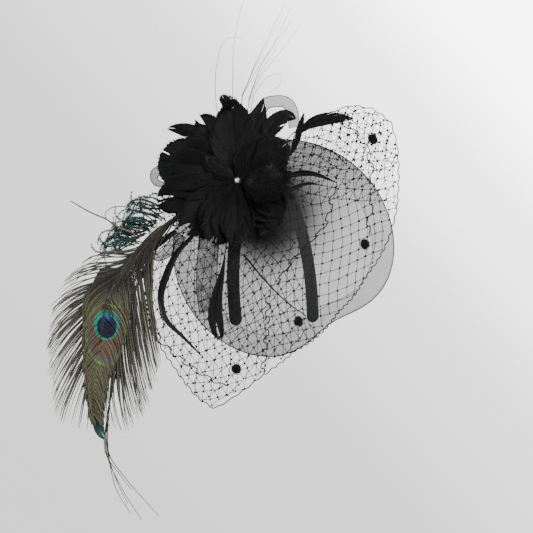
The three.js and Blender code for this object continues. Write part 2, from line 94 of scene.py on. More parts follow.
def outline(node, centre, window=0.075):
    """Radius of a packed sheet's edge at any turn about centre, from the corners that none beside them
    outreach."""
    d = trim_points(node)[:, :2] - centre
    turn, reach = np.arctan2(d[:, 1], d[:, 0]), np.hypot(d[:, 0], d[:, 1])
    apart = np.abs((turn[:, None] - turn + math.pi) % (2 * math.pi) - math.pi)
    rim = reach > 0.97 * np.where(apart < window, reach, 0).max(1)
    order = np.argsort(turn[rim])
    turn, reach = turn[rim][order], reach[rim][order]
    return lambda t: np.interp((np.asarray(t) + math.pi) % (2 * math.pi) - math.pi, turn, reach,
                               period=2 * math.pi)


# ------------------------------------------------------------------ shapes as whole arrays
def unit(v):
    """Vectors scaled to length one."""
    return v / np.maximum(np.linalg.norm(v, axis=-1, keepdims=True), 1e-12)


def smooth_route(points, count):
    """A Catmull-Rom curve through the points, cut at equal steps of its length."""
    p = np.asarray(points, float)
    p = np.vstack([2 * p[0] - p[1], p, 2 * p[-1] - p[-2]])
    t = np.linspace(0, len(p) - 3, 24 * (len(p) - 3) + 1)
    i = np.minimum(t.astype(int), len(p) - 4)
    f = (t - i)[:, None]
    a, b, c, d = p[i], p[i + 1], p[i + 2], p[i + 3]
    q = b + 0.5 * f * ((c - a) + f * (2 * a - 5 * b + 4 * c - d) + f * f * (3 * b - 3 * c + d - a))
    s = np.r_[0, np.cumsum(np.linalg.norm(np.diff(q, axis=0), axis=1))]
    at = np.linspace(0, s[-1], count)
    return np.stack([np.interp(at, s, q[:, k]) for k in range(p.shape[1])], 1)


def bezier(p0, p1, p2, p3, count):
    """Many cubic Bezier curves at once: (1-t)^3 p0 + 3t(1-t)^2 p1 + 3t^2(1-t) p2 + t^3 p3."""
    t = np.linspace(0, 1, count)[None, :, None]
    p0, p1, p2, p3 = (np.asarray(p, float)[:, None, :] for p in (p0, p1, p2, p3))
    return (1 - t) ** 3 * p0 + 3 * t * (1 - t) ** 2 * p1 + 3 * t * t * (1 - t) * p2 + t ** 3 * p3


def tubes(paths, width, thickness=None, sides=4, face=OUTWARD):
    """Oval tubes carried along many paths at once, both ends closed by a point.

    paths is (path, step, 3). The wide axis of the section lies across the path and square to face:
    point = path + across * cos(turn) * width / 2 + over * sin(turn) * thickness / 2.
    """
    paths = np.asarray(paths, float)
    count, steps, _ = paths.shape
    along = unit(np.gradient(paths, axis=1))
    side = unit(np.cross(np.broadcast_to(face, paths.shape), along))
    over = np.cross(along, side)
    half_w = np.broadcast_to(np.asarray(width, float), (count, steps)) / 2
    half_t = half_w if thickness is None else np.broadcast_to(np.asarray(thickness, float),
                                                              (count, steps)) / 2
    turn = 2 * math.pi * np.arange(sides) / sides
    ring = paths[:, :, None] + side[:, :, None] * (half_w[..., None] * np.cos(turn))[..., None]
    ring = ring + over[:, :, None] * (half_t[..., None] * np.sin(turn))[..., None]
    verts = np.concatenate([ring.reshape(-1, 3), paths[:, [0, -1]].reshape(-1, 3)])
    at = np.arange(count * steps * sides).reshape(count, steps, sides)
    nxt = np.roll(at, -1, axis=2)
    quads = np.stack([at[:, :-1], nxt[:, :-1], nxt[:, 1:], at[:, 1:]], -1).reshape(-1, 4)
    ends = count * steps * sides + np.arange(2 * count).reshape(count, 2, 1)
    first = np.stack([np.broadcast_to(ends[:, 0], (count, sides)), nxt[:, 0], at[:, 0]], -1)
    last = np.stack([np.broadcast_to(ends[:, 1], (count, sides)), at[:, -1], nxt[:, -1]], -1)
    tris = np.concatenate([first.reshape(-1, 3), last.reshape(-1, 3)])
    share = np.broadcast_to(np.linspace(0, 1, steps)[None, :, None], at.shape)
    which = np.broadcast_to((np.arange(count) / max(count - 1, 1))[:, None, None], at.shape)
    uv = np.stack([share.ravel(), which.ravel()], -1)
    end_uv = np.stack([np.tile([0.0, 1.0], count), np.repeat(np.arange(count) / max(count - 1, 1), 2)], -1)
    return verts, quads, tris, np.concatenate([uv, end_uv])


def sheet_grid(points, uv, keep=None, closed=False):
    """Quads between the neighbours of a (row, column) grid of points. closed joins the last row to the
    first."""
    rows, cols, _ = points.shape
    at = np.arange(rows * cols).reshape(rows, cols)
    low = at if closed else at[:-1]
    high = np.roll(at, -1, axis=0) if closed else at[1:]
    quads = np.stack([low[:, :-1], low[:, 1:], high[:, 1:], high[:, :-1]], -1)
    if keep is not None:
        quads = quads[keep]
    none = np.empty((0, 3), int)
    return points.reshape(-1, 3), quads.reshape(-1, 4), none, np.asarray(uv, float).reshape(-1, 2)


def beads(centres, radius, squash=0.75, sides=6):
    """Small closed beads: a ring of corners round each centre, with one point above and one below."""
    centres = np.asarray(centres, float)
    count = len(centres)
    r = np.broadcast_to(np.asarray(radius, float), (count,))[:, None, None]
    turn = 2 * math.pi * np.arange(sides) / sides
    rings = [np.stack([np.cos(turn) * c, np.sin(turn) * c, np.full(sides, z)], -1)
             for c, z in ((0.75, -0.62), (0.75, 0.62))]
    shape = np.concatenate([rings[0], np.array([[0, 0, -1.0]]), rings[1], np.array([[0, 0, 1.0]])])
    shape = shape * np.array([1, 1, squash])
    verts = (centres[:, None] + shape[None] * r).reshape(-1, 3)
    low, high = np.arange(sides), np.arange(sides) + sides + 1
    quads = np.stack([low, np.roll(low, -1), np.roll(high, -1), high], -1)
    tris = np.concatenate([np.stack([np.full(sides, sides), np.roll(low, -1), low], -1),
                           np.stack([np.full(sides, 2 * sides + 1), high, np.roll(high, -1)], -1)])
    step = (np.arange(count) * len(shape))[:, None, None]
    quads, tris = (quads[None] + step).reshape(-1, 4), (tris[None] + step).reshape(-1, 3)
    return verts, quads, tris, np.zeros((len(verts), 2))


def make_piece(name, parts, finish, replaces=(), body=BODY, smooth=True, row=False):
    """Puts the parts, each (points, quads, triangles, uv), into one mesh that rides on a body."""
    points, faces, uvs, offset = [], [], [], 0
    for verts, quads, tris, uv in parts:
        points.append(verts)
        uvs.append(uv)
        faces += (quads + offset).tolist() + (tris + offset).tolist()
        offset += len(verts)
    place = np.concatenate(points) * MM if row else to_row(np.concatenate(points))
    mesh = bpy.data.meshes.new(name)
    mesh.from_pydata(place.tolist(), [], faces)
    layer = mesh.uv_layers.new(name="UVMap")
    corner = np.empty(len(mesh.loops), int)
    mesh.loops.foreach_get("vertex_index", corner)
    layer.data.foreach_set("uv", np.concatenate(uvs)[corner].astype(np.float32).ravel())
    mesh.polygons.foreach_set("use_smooth", [smooth] * len(mesh.polygons))
    mesh.update()
    piece = bpy.data.objects.new(name, mesh)
    bpy.context.scene.collection.objects.link(piece)
    mesh.materials.append(finish)
    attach(piece, body)
    if replaces:
        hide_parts(*replaces)
    return piece


def coat(node, finish):
    """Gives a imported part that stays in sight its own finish."""
    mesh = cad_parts[node].data
    mesh.materials.clear()
    mesh.materials.append(finish)


def thicken(piece, millimetres):
    """Gives an open sheet its thickness, half to each side."""
    wall = piece.modifiers.new("thickness", "SOLIDIFY")
    wall.thickness = millimetres * MM
    wall.offset = 0
    return piece


# ------------------------------------------------------------------ finishes
class Finish:
    """A material while it is wired up. node() adds one node and links or sets its inputs."""

    def __init__(self, name):
        self.material = bpy.data.materials.new(name)
        self.material.use_nodes = True
        self.tree = self.material.node_tree
        self.tree.nodes.clear()

    def node(self, kind, settings=None, **inputs):
        made = self.tree.nodes.new(kind)
        for key, value in (settings or {}).items():
            setattr(made, key, value)
        for key, value in inputs.items():
            socket = made.inputs[int(key[1:])] if key[1:].isdigit() else made.inputs[key.replace("_", " ")]
            self.give(socket, value)
        return made

    def give(self, socket, value):
        if isinstance(value, bpy.types.NodeSocket):
            self.tree.links.new(value, socket)
        else:
            socket.default_value = value

    def math(self, operation, *values):
        made = self.tree.nodes.new("ShaderNodeMath")
        made.operation = operation
        for socket, value in zip(made.inputs, values):
            self.give(socket, value)
        return made.outputs[0]

    def times(self, a, b):
        return self.math("MULTIPLY", a, b)

    def plus(self, a, b):
        return self.math("ADD", a, b)

    def scaled(self, value, factor, offset):
        return self.math("MULTIPLY_ADD", value, factor, offset)

    def mix(self, share, a, b):
        made = self.tree.nodes.new("ShaderNodeMix")
        made.data_type = "RGBA"
        self.give(made.inputs["Factor"], share)
        self.give(made.inputs[6], a)
        self.give(made.inputs[7], b)
        return made.outputs[2]

    def ramp(self, value, low, high):
        """0 below low, 1 above high, and a soft step between."""
        made = self.tree.nodes.new("ShaderNodeMapRange")
        made.interpolation_type = "SMOOTHSTEP"
        self.give(made.inputs["Value"], value)
        made.inputs["From Min"].default_value = low
        made.inputs["From Max"].default_value = high
        return made.outputs[0]

    def object_space(self, scale=(1, 1, 1), turn=(0, 0, 0)):
        """Object coordinates, turned and scaled."""
        coords = self.node("ShaderNodeTexCoord")
        mapped = self.node("ShaderNodeMapping", Vector=coords.outputs["Object"])
        mapped.inputs["Scale"].default_value = scale
        mapped.inputs["Rotation"].default_value = turn
        return mapped.outputs[0]

    def uv_mm(self):
        """The piece's own UV map as x and y in millimetres."""
        uv = self.node("ShaderNodeUVMap", {"uv_map": "UVMap"})
        split = self.node("ShaderNodeSeparateXYZ", Vector=uv.outputs[0])
        return self.math("MULTIPLY", split.outputs[0], UV_MM), self.math("MULTIPLY", split.outputs[1], UV_MM)

    def noise(self, vector, scale, detail=4.0, rough=0.6):
        made = self.node("ShaderNodeTexNoise", Vector=vector)
        made.inputs["Scale"].default_value = scale
        made.inputs["Detail"].default_value = detail
        made.inputs["Roughness"].default_value = rough
        return made.outputs["Fac"]

    def cloud(self, size, detail=4.0, rough=0.6):
        """Noise in the piece's own space, size of its lumps to a metre."""
        return self.noise(self.object_space((size, size, size)), 1.0, detail, rough)

    def stripes(self, value, pitch):
        """Rounded ridges of the given pitch along value: half of one plus the cosine."""
        turned = self.math("MULTIPLY", value, 2 * math.pi / pitch)
        return self.math("MULTIPLY_ADD", self.math("COSINE", turned), 0.5, 0.5)

    def bump(self, height, strength, distance):
        made = self.node("ShaderNodeBump", Height=height)
        made.inputs["Strength"].default_value = strength
        made.inputs["Distance"].default_value = distance * MM
        return made.outputs[0]

    def principled(self, **inputs):
        shader = self.node("ShaderNodeBsdfPrincipled", None, **inputs)
        out = self.tree.nodes.new("ShaderNodeOutputMaterial")
        self.tree.links.new(shader.outputs[0], out.inputs[0])
        return self.material


def rgba(colour):
    return (*colour, 1.0)


def grey(tone):
    return (tone, tone, tone, 1.0)


def black_feather(name, base=0.0009, light=0.011, gloss=0.09):
    """Dyed black feather: streaks and fine ridges that run along the barbs, near black with soft lighter
    lines. Barbs that start near the root of the quill stay at the base black: painted shade towards the
    flower's middle."""
    f = Finish(name)
    along, across = f.uv_mm()
    lines = f.node("ShaderNodeCombineXYZ", X=f.times(along, 1.1), Y=f.times(across, 0.06))
    streak = f.noise(lines.outputs[0], 1.0, 5.0, 0.7)
    barbs = f.stripes(f.plus(along, f.times(across, 0.05)), 0.7)
    cloud = f.cloud(45, 3.0)
    share = f.times(f.ramp(streak, 0.46, 0.78), f.ramp(cloud, 0.3, 0.75))
    share = f.times(share, f.scaled(barbs, 0.4, 0.6))
    # Painted shade: barbs rooted in the first 5 mm of the quill stay base black, with full streaks only from
    # 36 mm on.
    share = f.times(share, f.ramp(along, 5.0, 36.0))
    colour = f.mix(share, rgba((base, base, base * 1.05)), rgba((light, light, light * 1.08)))
    return f.principled(Base_Color=colour, Roughness=f.scaled(streak, 0.3, 0.35),
                        Normal=f.bump(f.scaled(barbs, 0.35, streak), 0.5, 0.5),
                        Sheen_Weight=0.012, Sheen_Roughness=0.4, Specular_IOR_Level=gloss)


def horn_finish(name, colour, rough=0.35):
    """Stripped quill or biot: smooth horn with faint length-wise grain."""
    f = Finish(name)
    grain = f.noise(f.object_space((300, 300, 60)), 1.0, 3.0)
    tint = f.mix(f.ramp(grain, 0.35, 0.7), rgba(colour), rgba(tuple(c * 1.9 for c in colour)))
    return f.principled(Base_Color=tint, Roughness=rough, Normal=f.bump(grain, 0.3, 0.1),
                        Specular_IOR_Level=0.12)


def thread_finish(name, base):
    """Twisted thread: short slanting ridges, matt."""
    f = Finish(name)
    twist = f.cloud(900, 2.0)
    colour = f.mix(f.ramp(twist, 0.3, 0.7), grey(base), grey(base * 2.2))
    return f.principled(Base_Color=colour, Roughness=0.75, Normal=f.bump(twist, 0.4, 0.1),
                        Specular_IOR_Level=0.2)


def crin_finish(name, pitch, thread, base=0.003, shade=0.0):
    """See-through woven crin: two slanting sets of threads with open holes between them.

    thread is the mean cover of one face. shade is the strength of a painted shadow of the flower: extra cover
    round the foot of the flower, fading as exp(-(distance / 38 mm)^2); with shade set, a little more cover
    towards the top.
    """
    f = Finish(name)
    x, y = f.uv_mm()
    lean = math.radians(45)
    cloud = f.cloud(14, 4.0)
    away = f.plus(f.math("POWER", f.math("DIVIDE", f.plus(x, 34.0), 38.0), 2.0),
                  f.math("POWER", f.math("DIVIDE", f.math("SUBTRACT", y, 80.0), 38.0), 2.0))
    # Painted shadow of the flower: extra cover, so more dark crin, round the foot of the flower.
    painted_shadow_cover = f.times(f.math("POWER", 2.718, f.times(away, -1.0)), shade)
    cover = f.times(f.scaled(cloud, 0.4, 0.8), thread)
    if shade:
        cover = f.scaled(f.ramp(y, 50.0, 160.0), 0.24, cover)
    waves = []
    for sign in (1, -1):
        run = f.plus(f.times(x, math.cos(lean)), f.times(y, sign * math.sin(lean)))
        waves.append(f.math("POWER", f.stripes(run, pitch), 3.0))
    mesh = f.math("MAXIMUM", waves[0], waves[1])
    weave = f.times(cover, f.scaled(mesh, 1.5, 0.3))
    weave = f.scaled(painted_shadow_cover, f.scaled(mesh, 0.3, 0.7), weave)
    colour = f.mix(cloud, grey(base), grey(base * 3))
    return f.principled(Base_Color=colour, Roughness=0.5, Alpha=weave, Specular_IOR_Level=0.25)


def satin_finish(name):
    """Black satin ribbon: fine warp ridges along it, a crosswise weft, and a soft broad gloss."""
    f = Finish(name)
    x, y = f.uv_mm()
    warp = f.stripes(y, 0.42)
    weft = f.stripes(x, 0.6)
    weave = f.times(warp, f.scaled(weft, 0.4, 0.6))
    rub = f.cloud(70, 4.0)
    colour = f.mix(f.ramp(rub, 0.4, 0.8), rgba((0.0025, 0.0025, 0.0028)), rgba((0.008, 0.008, 0.009)))
    rough = f.scaled(rub, 0.3, 0.32)
    return f.principled(Base_Color=colour, Roughness=rough, Normal=f.bump(weave, 0.45, 0.12),
                        Sheen_Weight=0.02, Sheen_Roughness=0.4, Specular_IOR_Level=0.3)


def felt_finish(name, base=0.003):
    """Pressed felt: matted fibres at two scales, and no gloss."""
    f = Finish(name)
    mat = f.cloud(420, 6.0, 0.75)
    clumps = f.cloud(90, 3.0)
    colour = f.mix(f.times(mat, clumps), grey(base * 0.6), grey(base * 3))
    return f.principled(Base_Color=colour, Roughness=0.95, Normal=f.bump(mat, 0.8, 0.5),
                        Sheen_Weight=0.04, Sheen_Roughness=0.6, Specular_IOR_Level=0.1)


def metal_finish(name, colour, rough, brush=0.15):
    """Plated metal with faint brushing and small dull marks."""
    f = Finish(name)
    lines = f.noise(f.object_space((900, 120, 120)), 1.0, 3.0)
    marks = f.cloud(160, 5.0)
    tint = f.mix(f.ramp(marks, 0.45, 0.8), rgba(colour), rgba(tuple(c * 0.72 for c in colour)))
    shade = f.scaled(marks, brush, rough)
    return f.principled(Base_Color=tint, Metallic=1.0, Roughness=shade, Normal=f.bump(lines, 0.15, 0.05))


def crystal_finish(name):
    """Foil-backed crystal: a bright mirror foil under clear facets, a little cloudy at random."""
    f = Finish(name)
    haze = f.cloud(500, 2.0)
    tint = f.mix(haze, rgba((0.93, 0.95, 0.99)), rgba((0.70, 0.76, 0.86)))
    rough = f.times(haze, 0.12)
    return f.principled(Base_Color=tint, Metallic=0.85, Roughness=rough, Coat_Weight=1.0, Coat_Roughness=0.02)


def plastic_finish(name):
    """Moulded dark plastic with a fine sand-blasted grain."""
    f = Finish(name)
    grain = f.cloud(700, 3.0)
    colour = f.mix(grain, grey(0.014), grey(0.03))
    return f.principled(Base_Color=colour, Roughness=0.5, Normal=f.bump(grain, 0.3, 0.1))


def barb_finish(name, root, middle, tip, streaks):
    """Peacock barbs: colour runs from quill to tip along each barb and differs a little between barbs."""
    f = Finish(name)
    uv = f.node("ShaderNodeUVMap", {"uv_map": "UVMap"})
    split = f.node("ShaderNodeSeparateXYZ", Vector=uv.outputs[0])
    wander = f.cloud(120, 3.0)
    share = f.plus(split.outputs[0], f.scaled(wander, 0.5, -0.25))
    first = f.mix(f.ramp(share, 0.05, 0.45), rgba(root), rgba(middle))
    second = f.mix(f.ramp(share, 0.5, 1.0), first, rgba(tip))
    which = f.node("ShaderNodeTexWhiteNoise", {"noise_dimensions": "1D"}, W=split.outputs[1])
    third = f.mix(f.ramp(which.outputs["Value"], 0.55, 0.95), second, rgba(streaks))
    fuzz = f.stripes(f.times(split.outputs[0], 100.0), 2.2)
    dark = f.scaled(fuzz, 0.45, 0.55)
    shaded = f.node("ShaderNodeHueSaturation", Value=dark, Color=third)
    return f.principled(Base_Color=shaded.outputs[0], Roughness=0.45, Metallic=0.15,
                        Normal=f.bump(fuzz, 0.6, 0.2), Sheen_Weight=0.06, Sheen_Roughness=0.4,
                        Specular_IOR_Level=0.2)


def oval(f, x, y, centre, radii):
    """Distance from an oval's middle as a share of its radius: the root of (x/rx)^2 + (y/ry)^2."""
    dx = f.math("DIVIDE", f.math("SUBTRACT", x, centre[0]), radii[0])
    dy = f.math("DIVIDE", f.math("SUBTRACT", y, centre[1]), radii[1])
    return f.math("SQRT", f.plus(f.math("POWER", dx, 2.0), f.math("POWER", dy, 2.0)))


def eye_finish(name, look):
    """Peacock eye, from the outside in: olive, yellow-green line, lilac band, bronze, teal ring, navy heart.

    Every zone is an oval about the eye's middle, which is the origin of the UV map. Fine barb streaks
    shake the zone edges.
    """
    f = Finish(name)
    x, y = f.uv_mm()
    streak = f.noise(f.node("ShaderNodeCombineXYZ", X=f.times(x, 2.2),
                            Y=f.times(y, 0.25)).outputs[0], 1.0, 3.0)
    shake = f.scaled(streak, 0.12, -0.06)
    outer = f.plus(oval(f, x, y, (0, -9.0), (18.5, 28.5)), shake)
    bronze = f.plus(oval(f, x, y, (0, -6.5), (15.5, 25.5)), shake)
    ring = f.plus(oval(f, x, y, (0.3, 0.5), (12.2, 14.8)), shake)
    heart = f.plus(oval(f, x, y, (0.6, -1.6), (9.3, 11.0)), shake)
    notch = oval(f, x, y, (0.6, 10.6), (2.6, 6.5))
    colour = f.mix(f.ramp(streak, 0.3, 0.7), rgba(look.olive), rgba(look.dark_olive))
    colour = f.mix(f.ramp(y, 14.0, 44.0), colour, rgba((0.014, 0.013, 0.011)))
    patch = f.ramp(f.cloud(90, 2.0), 0.4, 0.62)
    colour = f.mix(f.times(f.ramp(outer, 1.10, 1.0), patch), colour, rgba(look.leaf_green))
    colour = f.mix(f.ramp(outer, 1.0, 0.94), colour, rgba(look.lilac))
    colour = f.mix(f.ramp(bronze, 1.06, 0.98), colour, rgba(look.bronze))
    colour = f.mix(f.ramp(ring, 1.03, 0.97), colour, rgba(look.teal))
    colour = f.mix(f.ramp(ring, 0.9, 0.8), colour, rgba(look.bright_teal))
    inside = f.times(f.ramp(heart, 1.04, 0.96), f.ramp(notch, 0.75, 1.0))
    colour = f.mix(inside, colour, rgba(look.navy))
    glint = f.times(f.ramp(oval(f, x, y, (0.6, 6.6), (4.6, 4.4)), 1.1, 0.4), 0.7)
    colour = f.mix(glint, colour, rgba(look.blue))
    barbs = f.stripes(x, 0.8)
    dim = f.scaled(f.times(barbs, streak), 0.5, 0.72)
    shaded = f.node("ShaderNodeHueSaturation", Value=dim, Color=colour)
    return f.principled(Base_Color=shaded.outputs[0], Roughness=0.45, Metallic=0.2,
                        Normal=f.bump(barbs, 0.5, 0.2), Sheen_Weight=0.04, Sheen_Roughness=0.4,
                        Specular_IOR_Level=0.2)


def felt_fuzz(points, normals, count, length, rng):
    """Short fibres standing off a surface: each leans from its normal by a random amount and bends over."""
    pick = rng.integers(0, len(points), count)
    root, out = points[pick], normals[pick]
    lean = unit(out + rng.normal(0, 0.7, (count, 3)))
    reach = rng.uniform(0.5, 1.0, (count, 1)) * length
    middle = root + out * reach * 0.6
    return tubes(bezier(root - out * 0.3, middle, middle + lean * reach * 0.4, root + lean * reach, 4),
                 0.14, sides=3)


# ------------------------------------------------------------------ feathers
def carried(route, steps, face):
    """The smoothed route, its directions along, across and up at every step, and its whole length."""
    line = smooth_route(route, steps)
    along = unit(np.gradient(line, axis=0))
    across = unit(np.cross(np.broadcast_to(face, line.shape), along))
    return line, along, across, np.cross(along, across), np.linalg.norm(np.diff(line, axis=0), axis=1).sum()


def half_width(kind, x):
    """Half width of a vane, as a share of its widest, x of the way from its root to its tip."""
    middle, root, power = {"round": (0.66, 0.16, 2.0), "leaf": (0.5, 0.1, 1.5), "pointed": (0.35, 0.2, 1.1),
                           "paddle": (0.8, 0.0, 2.0)}[kind]
    steep = 3 if kind == "paddle" else 1
    rise = root + (1 - root) * np.sin(np.clip(x / middle, 0, 1) * math.pi / 2) ** steep
    fall = np.clip(1 - np.clip((x - middle) / (1 - middle), 0, 1) ** power, 0, 1) ** (1 / power)
    return np.where(x < middle, rise, fall)


def vane(route, width, face, rng, kind="leaf", barbs=60, cols=7, quill_end=0.82, cup=0.12, ragged=0.05,
         splits=4, depth=0.5, ripple=0.3, quill=0.9, fray=2.2):
    """A feather: two grids of barbs that run from a tapering quill to the vane's outline.

    Barb k starts t_k along the quill and ends further on, at x = sin(90 degrees * q_k) of the whole
    length, on the outline half_width(x). Between them it is a quadratic Bezier curve that leaves the quill
    steeply and bends forward. The vane is cupped by the square of the distance from the quill. Clumps of
    barbs differ a
    little in length and height, and the outer share of the gap between two clumps is open.
    """
    line, tangent, across, up, total = carried(route, 200, face)
    u = np.linspace(0, 1, cols)[None, :]
    parts, fringe = [], []
    for hand in (-1, 1):
        cuts = np.sort(rng.choice(np.arange(4, barbs - 3), splits, replace=False))
        clump = np.searchsorted(cuts, np.arange(barbs), side="right")
        step = np.ones(barbs)
        step[0], step[cuts] = 0, 0.12
        q = np.cumsum(step) / step.sum()
        nudge = rng.normal(0, 0.012, splits + 1)[clump]
        start, end = quill_end * q, np.clip(0.04 + 0.96 * np.sin(math.pi / 2 * q) ** 0.85 + nudge, 0.02, 1.0)
        scale = 1 + ragged * (rng.normal(0, 0.6, splits + 1)[clump] + rng.normal(0, 0.5, barbs))
        reach = (width / 2 * half_width(kind, end) * np.clip(scale, 0.7, 1.1))[:, None]
        ahead = ((end - start) * total * np.clip(scale, 0.8, 1.08))[:, None]
        out = reach * (2 * u * (1 - u) * 0.66 + u * u)
        fore = start[:, None] * total + ahead * (2 * u * (1 - u) * 0.34 + u * u)
        base = np.minimum(fore / total, 1) * 199
        low = np.minimum(base.astype(int), 198)
        f = (base - low)[..., None]
        frames = [v[low] * (1 - f) + v[low + 1] * f for v in (line, across, up, tangent)]
        past = np.clip(fore - total, 0, None)[..., None]
        lift = cup * out ** 2 / max(width, 1) + ripple * u ** 2 * rng.normal(0, 1, splits + 1)[clump][:, None]
        grid = frames[0] + frames[3] * past + frames[1] * (hand * out)[..., None]
        grid = grid + frames[2] * lift[..., None]
        keep = np.ones((barbs - 1, cols - 1), bool)
        for cut in cuts:
            keep[cut - 1, max(1, int((cols - 1) * (1 - depth * rng.uniform(0.3, 1.2)))):] = False
        root_at = start[:, None] * total
        uv = np.stack(np.broadcast_arrays(root_at + 0 * u, hand * np.hypot(out, fore - root_at)), -1) / UV_MM
        rows = rng.integers(0, barbs - 1, int(barbs * 1.6))
        mix = rng.uniform(0, 1, (len(rows), 1))
        rim = grid[rows, -1] * (1 - mix) + grid[rows + 1, -1] * mix
        way = unit(rim - grid[rows, -2]) + rng.normal(0, 0.12, rim.shape)
        reach = rng.uniform(0.2, 1.0, (len(rows), 1)) * fray
        hair_end = rim + way * reach + frames[3][rows, -1] * reach * 0.4
        fringe.append(bezier(rim - way * 1.5, rim, rim + way * reach * 0.5, hair_end, 4))
        if hand < 0:
            grid, uv, keep = grid[::-1], uv[::-1], keep[::-1]
        parts.append(sheet_grid(grid, uv, keep))
    shaft = line[: int(200 * (quill_end + 0.06)):8][None]
    taper = quill * (1 - 0.8 * np.linspace(0, 1, shaft.shape[1]))
    hairs = tubes(np.concatenate(fringe), 0.42 * np.array([[1, 0.8, 0.5, 0.15]]), sides=3)
    return parts, [tubes(shaft + unit(np.asarray(face, float)) * 0.3, taper, sides=6), hairs]


def blade(route, width, face, steps=40, cols=7, cup=0.35):
    """A stripped, curled biot: a narrow blade, widest a third of the way along, with a cupped section."""
    line, _, across, up, length = carried(route, steps, face)
    t = np.linspace(0, 1, steps)
    half = width / 2 * np.clip(np.minimum(0.35 + t * 2.2, (1.02 - t) * 1.6), 0.03, 1) ** 0.8
    v = np.linspace(-1, 1, cols)
    grid = line[:, None] + across[:, None] * (half[:, None] * v)[..., None]
    grid = grid + up[:, None] * (cup * half[:, None] * (v ** 2 - 1))[..., None]
    uv = np.stack(np.broadcast_arrays((t * length)[:, None], half[:, None] * v), -1) / UV_MM
    return sheet_grid(grid, uv)


def ribbon(route, width, face, roll=0.0, steps=60, cols=9):
    """A flat strip of crin carried along a route and rolled about its own line."""
    line, _, across, up, length = carried(route, steps, face)
    turn = roll * math.pi * np.linspace(0, 1, steps)[:, None]
    side = across * np.cos(turn) + up * np.sin(turn)
    v = np.linspace(-0.5, 0.5, cols)
    grid = line[:, None] + side[:, None] * (width * v)[None, :, None]
    uv = np.stack(np.broadcast_arrays(np.linspace(0, length, steps)[:, None], (width * v)[None]), -1) / UV_MM
    hems = tubes(np.stack([grid[:, 0], grid[:, -1]]), 0.9, 0.6, sides=5)
    return sheet_grid(grid, uv), hems


# ------------------------------------------------------------------ surfaces of this fascinator
DISH_CENTRE = np.array([-19.0, 48.0])
VEIL_CENTRE = np.array([-30.0, 40.0])
FLOWER = np.array([-62.0, 112.0])
VEIL_GAP, VEIL_BLOUSE = 4.5, 13.0
dish_height = fitted("crin_dish")
dish_rim = outline("crin_dish", DISH_CENTRE)
veil_rim = outline("veil_net", VEIL_CENTRE)


def turn_and_reach(a, b, centre):
    return np.arctan2(b - centre[1], a - centre[0]), np.hypot(a - centre[0], b - centre[1])


def veil_height(a, b):
    """The net floats over the saucer and blouses out towards its middle."""
    turn, reach = turn_and_reach(np.asarray(a), np.asarray(b), VEIL_CENTRE)
    share = np.minimum(reach / veil_rim(turn), 1)
    return dish_height(a, b) + VEIL_GAP + VEIL_BLOUSE * (1 - share)


def over_veil(route):
    """Trim points from (a, b, height over the veil)."""
    p = np.asarray(route, float)
    return np.c_[p[:, :2], veil_height(p[:, 0], p[:, 1]) + p[:, 2]]


def disc_sheet(height, rim, centre, rings, turns, start=0.0, lift=0.0, edge=1.0):
    """A round sheet: a centre point, then rings of points at rising shares of the rim's radius."""
    turn = 2 * math.pi * np.arange(turns) / turns
    share = np.linspace(start, edge, rings + 1)[1 if start == 0 else 0:]
    reach = share[:, None] * rim(turn)[None]
    a, b = centre[0] + reach * np.cos(turn), centre[1] + reach * np.sin(turn)
    grid = np.stack([a, b, height(a, b) + lift], -1)
    at = np.arange(grid.shape[0] * turns).reshape(-1, turns)
    nxt = np.roll(at, -1, axis=1)
    quads = np.stack([at[:-1], at[1:], nxt[1:], nxt[:-1]], -1).reshape(-1, 4)
    verts, tris = grid.reshape(-1, 3), np.empty((0, 3), int)
    if start == 0:
        middle = np.array([[*centre, float(height(*centre)) + lift]])
        verts = np.concatenate([verts, middle])
        tris = np.stack([at[0], nxt[0], np.full(turns, len(verts) - 1)], -1)
    return verts, quads, tris, verts[:, :2] / UV_MM


def round_edge(height, rim, centre, steps, share=1.0, lift=0.0, scallop=0.0, pitch=9.0):
    """A closed path round a sheet's edge, with scallops of the given depth and pitch."""
    turn = np.linspace(0, 2 * math.pi, steps)
    reach = rim(turn) * share
    count = round(2 * math.pi * reach.mean() / pitch)
    reach = reach + scallop * np.cos(count * turn)
    a, b = centre[0] + reach * np.cos(turn), centre[1] + reach * np.sin(turn)
    return np.stack([a, b, height(a, b) + lift], -1)


def ball(centre, radii, rng, bumps=0.0, turns=24, levels=14):
    """A lumpy ball: radius times one plus a few random waves over its surface, closed at both poles."""
    turn = 2 * math.pi * np.arange(turns) / turns
    tilt = np.linspace(-math.pi / 2, math.pi / 2, levels + 2)[1:-1]
    d = np.stack(np.broadcast_arrays(np.cos(tilt)[:, None] * np.cos(turn),
                                     np.cos(tilt)[:, None] * np.sin(turn),
                                     np.sin(tilt)[:, None]), -1).reshape(-1, 3)
    d = np.concatenate([d, [[0, 0, -1.0], [0, 0, 1.0]]])
    waves = rng.normal(0, 3.2, (8, 3))
    swell = 1 + bumps * np.sin(d @ waves.T + rng.uniform(0, 6, 8)).mean(1)
    verts = np.asarray(centre) + d * np.asarray(radii) * swell[:, None]
    at = np.arange(turns * levels).reshape(levels, turns)
    nxt = np.roll(at, -1, axis=1)
    quads = np.stack([at[:-1], nxt[:-1], nxt[1:], at[1:]], -1).reshape(-1, 4)
    low, high = turns * levels, turns * levels + 1
    tris = np.concatenate([np.stack([np.full(turns, low), nxt[0], at[0]], -1),
                           np.stack([np.full(turns, high), at[-1], nxt[-1]], -1)])
    return verts, quads, tris, np.zeros((len(verts), 2))


# ------------------------------------------------------------------ the headband's arch
HALF_SPAN, ARCH_BACK, END_TURN = 77.0, 31.5, math.radians(95.5)
ARCH_RISE = math.hypot(8.5, 118.0)
ARCH_UP = np.array([0.0, 8.5, 118.0]) / ARCH_RISE
ARCH_FORWARD = np.cross([1.0, 0.0, 0.0], ARCH_UP)


